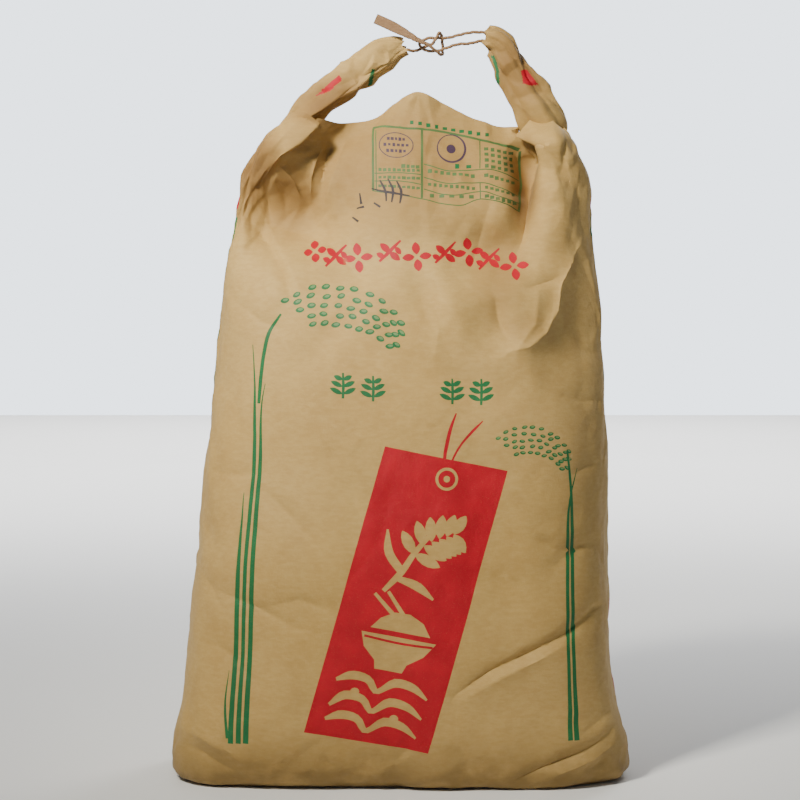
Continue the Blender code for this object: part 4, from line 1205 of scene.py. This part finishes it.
def paper_material(name, ink=None, base=PAPER, roughness=0.72):
    """Kraft paper: fibres, cloudy tone and worn folds, creases darkened with dirt and painted shade, painted
    shade in the front's hollows and folds, and darker near the floor with dirt and painted shade; with an ink
    over it that lets some paper through.
    """
    nodes = Nodes(name)
    place = nodes.add("ShaderNodeTexCoord").outputs["Object"]
    fibres = nodes.noise(nodes.stretch(place, 1.0, 1.0, 0.16), 1500.0, 2.0)
    cross_fibres = nodes.noise(nodes.stretch(place, 0.2, 0.2, 1.0), 900.0, 2.0)
    mottle = nodes.noise(nodes.stretch(place, 0.4, 0.4, 1.0), 300.0, 3.0, 0.6)
    cloud = nodes.noise(place, 38.0, 4.0, 0.6)
    broad = nodes.noise(place, 7.0, 2.0)
    fold = nodes.add("ShaderNodeAttribute", attribute_name="fold").outputs["Fac"]

    def tinted(tone, shade=1.0):
        return tuple(c * b / p * shade for c, b, p in zip(tone, base, PAPER))

    dark, pale, crease_dirt_and_shade, floor_dirt_and_shade = tinted(PAPER_DARK), tinted(PAPER_PALE), *[tinted(PAPER_DARK, s) for s in CREASE_AND_FLOOR_DARKENING]
    colour = nodes.mix(nodes.ramp(cloud, 0.1, 0.62), dark, base)
    for value, low, high, amount, tone in (
        (broad, 0.35, 0.7, 0.35, pale), (fibres, 0.52, 0.8, 0.3, pale),
        (cross_fibres, 0.55, 0.82, 0.28, dark),
        (mottle, 0.44, 0.66, 0.28, dark), (mottle, 0.5, 0.3, 0.24, pale),
    ):
        colour = nodes.mix(nodes.part(value, low, high, amount), colour, tone)
    worn = nodes.part(fold, 0.1, 0.75, 0.5)
    colour = nodes.mix(worn, colour, pale)
    # Creases darkened by the fold field: partly dirt, partly painted shade
    colour = nodes.mix(nodes.part(fold, -0.1, -0.8, 0.45), colour, crease_dirt_and_shade)
    # Painted shade: spots of darker paper on the top, in the front's hollows and folds, and under the arms
    painted_shade = 0.0
    for (x, z), (wide, high), amount in PAINTED_SHADE_SPOTS:
        spot = nodes.add("ShaderNodeMapping", {
            "Vector": place, "Location": (-x / wide, -PAINTED_SHADE_Y / PAINTED_SHADE_DEEP, -z / high),
            "Scale": (1 / wide, 1 / PAINTED_SHADE_DEEP, 1 / high)}).outputs[0]
        away = nodes.add("ShaderNodeVectorMath", {0: spot}, operation="LENGTH").outputs["Value"]
        painted_shade = nodes.maths("MAXIMUM", nodes.part(away, 1.25, 0.25, amount), painted_shade)
    painted_shade = nodes.times(painted_shade, nodes.maths("ADD", 0.55, nodes.times(cloud, 0.9)))
    colour = nodes.mix(painted_shade, colour, tinted(PAPER_PAINTED_SHADE))
    # Darker near the floor: partly dirt, partly painted shade
    rise = nodes.add("ShaderNodeSeparateXYZ", {"Vector": place}).outputs["Z"]
    floor_darkening = nodes.times(nodes.ramp(rise, 0.075, 0.0), nodes.ramp(cloud, 0.1, 0.6))
    colour = nodes.mix(nodes.times(floor_darkening, 0.75), colour, floor_dirt_and_shade)
    if ink:
        specks = nodes.part(nodes.noise(place, 1900.0, 2.0), 0.62, 0.8, 0.45)
        thin = nodes.maths("ADD", specks, nodes.times(worn, 0.5))
        shade = nodes.mix(nodes.ramp(cloud, 0.3, 0.75), *[tuple(c * s for c in ink) for s in INK_SHADES])
        colour = nodes.mix(thin, shade, colour)
    height = nodes.maths("ADD", nodes.times(fibres, 0.35), nodes.times(cross_fibres, 0.3))
    height = nodes.maths("ADD", height, nodes.times(nodes.noise(place, 240.0, 3.0), 0.9))
    bump = nodes.add("ShaderNodeBump", {"Height": height, "Strength": 0.5, "Distance": 0.0007})
    nodes.set(Base_Color=colour, Roughness=nodes.maths("ADD", roughness - 0.05, nodes.times(cloud, 0.1)),
              Normal=bump.outputs[0], Metallic=0.0, Specular_IOR_Level=0.3, Sheen_Weight=0.0 if ink else 0.06,
              Sheen_Roughness=0.5)
    nodes.material.diffuse_color = (*(ink or base), 1)
    return nodes.material


def floor_material():
    nodes = Nodes("floor")
    place = nodes.add("ShaderNodeTexCoord").outputs["Object"]
    tone = nodes.mix(nodes.noise(place, 1.2, 3.0), (0.8, 0.8, 0.79), (0.84, 0.84, 0.83))
    nodes.set(Base_Color=tone, Roughness=0.85)
    return nodes.material


def make_camera():
    data = bpy.data.cameras.new("camera")
    data.lens = CAMERA_LENS
    data.sensor_width = 36.0
    camera = bpy.data.objects.new("camera", data)
    camera.location = CAMERA_AT
    camera.rotation_euler = (Vector(CAMERA_AIM) - Vector(CAMERA_AT)).to_track_quat("-Z", "Y").to_euler()
    SCENE.objects.link(camera)
    bpy.context.scene.camera = camera


def make_lights():
    for spec in LIGHTS:
        data = bpy.data.lights.new(spec["name"], "AREA")
        data.energy = spec["power"]
        data.size = spec["size"]
        data.color = spec["colour"]
        data.spread = math.radians(spec["spread"])
        light = bpy.data.objects.new(spec["name"], data)
        light.location = spec["at"]
        light.rotation_euler = (Vector(spec["aim"]) - Vector(spec["at"])).to_track_quat("-Z", "Y").to_euler()
        SCENE.objects.link(light)


def make_surroundings():
    """The world, whose backdrop looks brighter than the light that it gives, and the floor."""
    world = bpy.data.worlds.new("world")
    world.use_nodes = True
    tree = world.node_tree
    background = tree.nodes["Background"]
    background.inputs["Color"].default_value = (*WORLD_COLOUR, 1)
    seen = tree.nodes.new("ShaderNodeLightPath").outputs["Is Camera Ray"]
    strength = tree.nodes.new("ShaderNodeMapRange")
    strength.inputs["To Min"].default_value = WORLD_STRENGTH
    strength.inputs["To Max"].default_value = BACKDROP_STRENGTH
    tree.links.new(seen, strength.inputs["Value"])
    tree.links.new(strength.outputs[0], background.inputs["Strength"])
    bpy.context.scene.world = world
    mesh = bpy.data.meshes.new("floor")
    half = FLOOR_SIZE / 2
    corners = [(-half, -half, 0), (half, -half, 0), (half, half, 0), (-half, half, 0)]
    mesh.from_pydata(corners, [], [(0, 1, 2, 3)])
    link("floor", mesh, [floor_material()])


def main():
    make_camera()
    twine = paper_material("cord_paper", base=CORD_PAPER, roughness=0.78)
    first, last = [[arm_end(1.0, exit_at, out) for out in (-CORD_TUCK, CORD_GAP)] for exit_at in LOOP_EXITS]
    loop = first + [KNOT + Vector(p) for p in LOOP_ROUTE] + last[::-1]
    left = [arm_end(0.0, LEFT_EXIT, out) for out in (-CORD_TUCK, CORD_GAP)]
    left += [KNOT + Vector(p) for p in LEFT_ROUTE]
    for name, node, route, tail in (("tie_right", "tie_loop_right", loop, False),
                                    ("tie_left", "tie_cord_left", left, True)):
        points, length = smooth_route(route)
        cord = link(name, cord_mesh(name, points, length, tail), [twine])
        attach(cord, "root")
        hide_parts(node)
    kraft = paper_material("kraft")
    prints = [paper_material("print_" + ink, INKS[ink], roughness=0.62) for ink in INK_ORDER[1:]]
    bag = link("bag", bag_mesh(), [kraft] + prints)
    roll = link("rolled_mouth", roll_mesh(), [kraft] + prints)
    for piece in (bag, roll):
        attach(piece, "root")
        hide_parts("sack")
    make_lights()
    make_surroundings()


main()
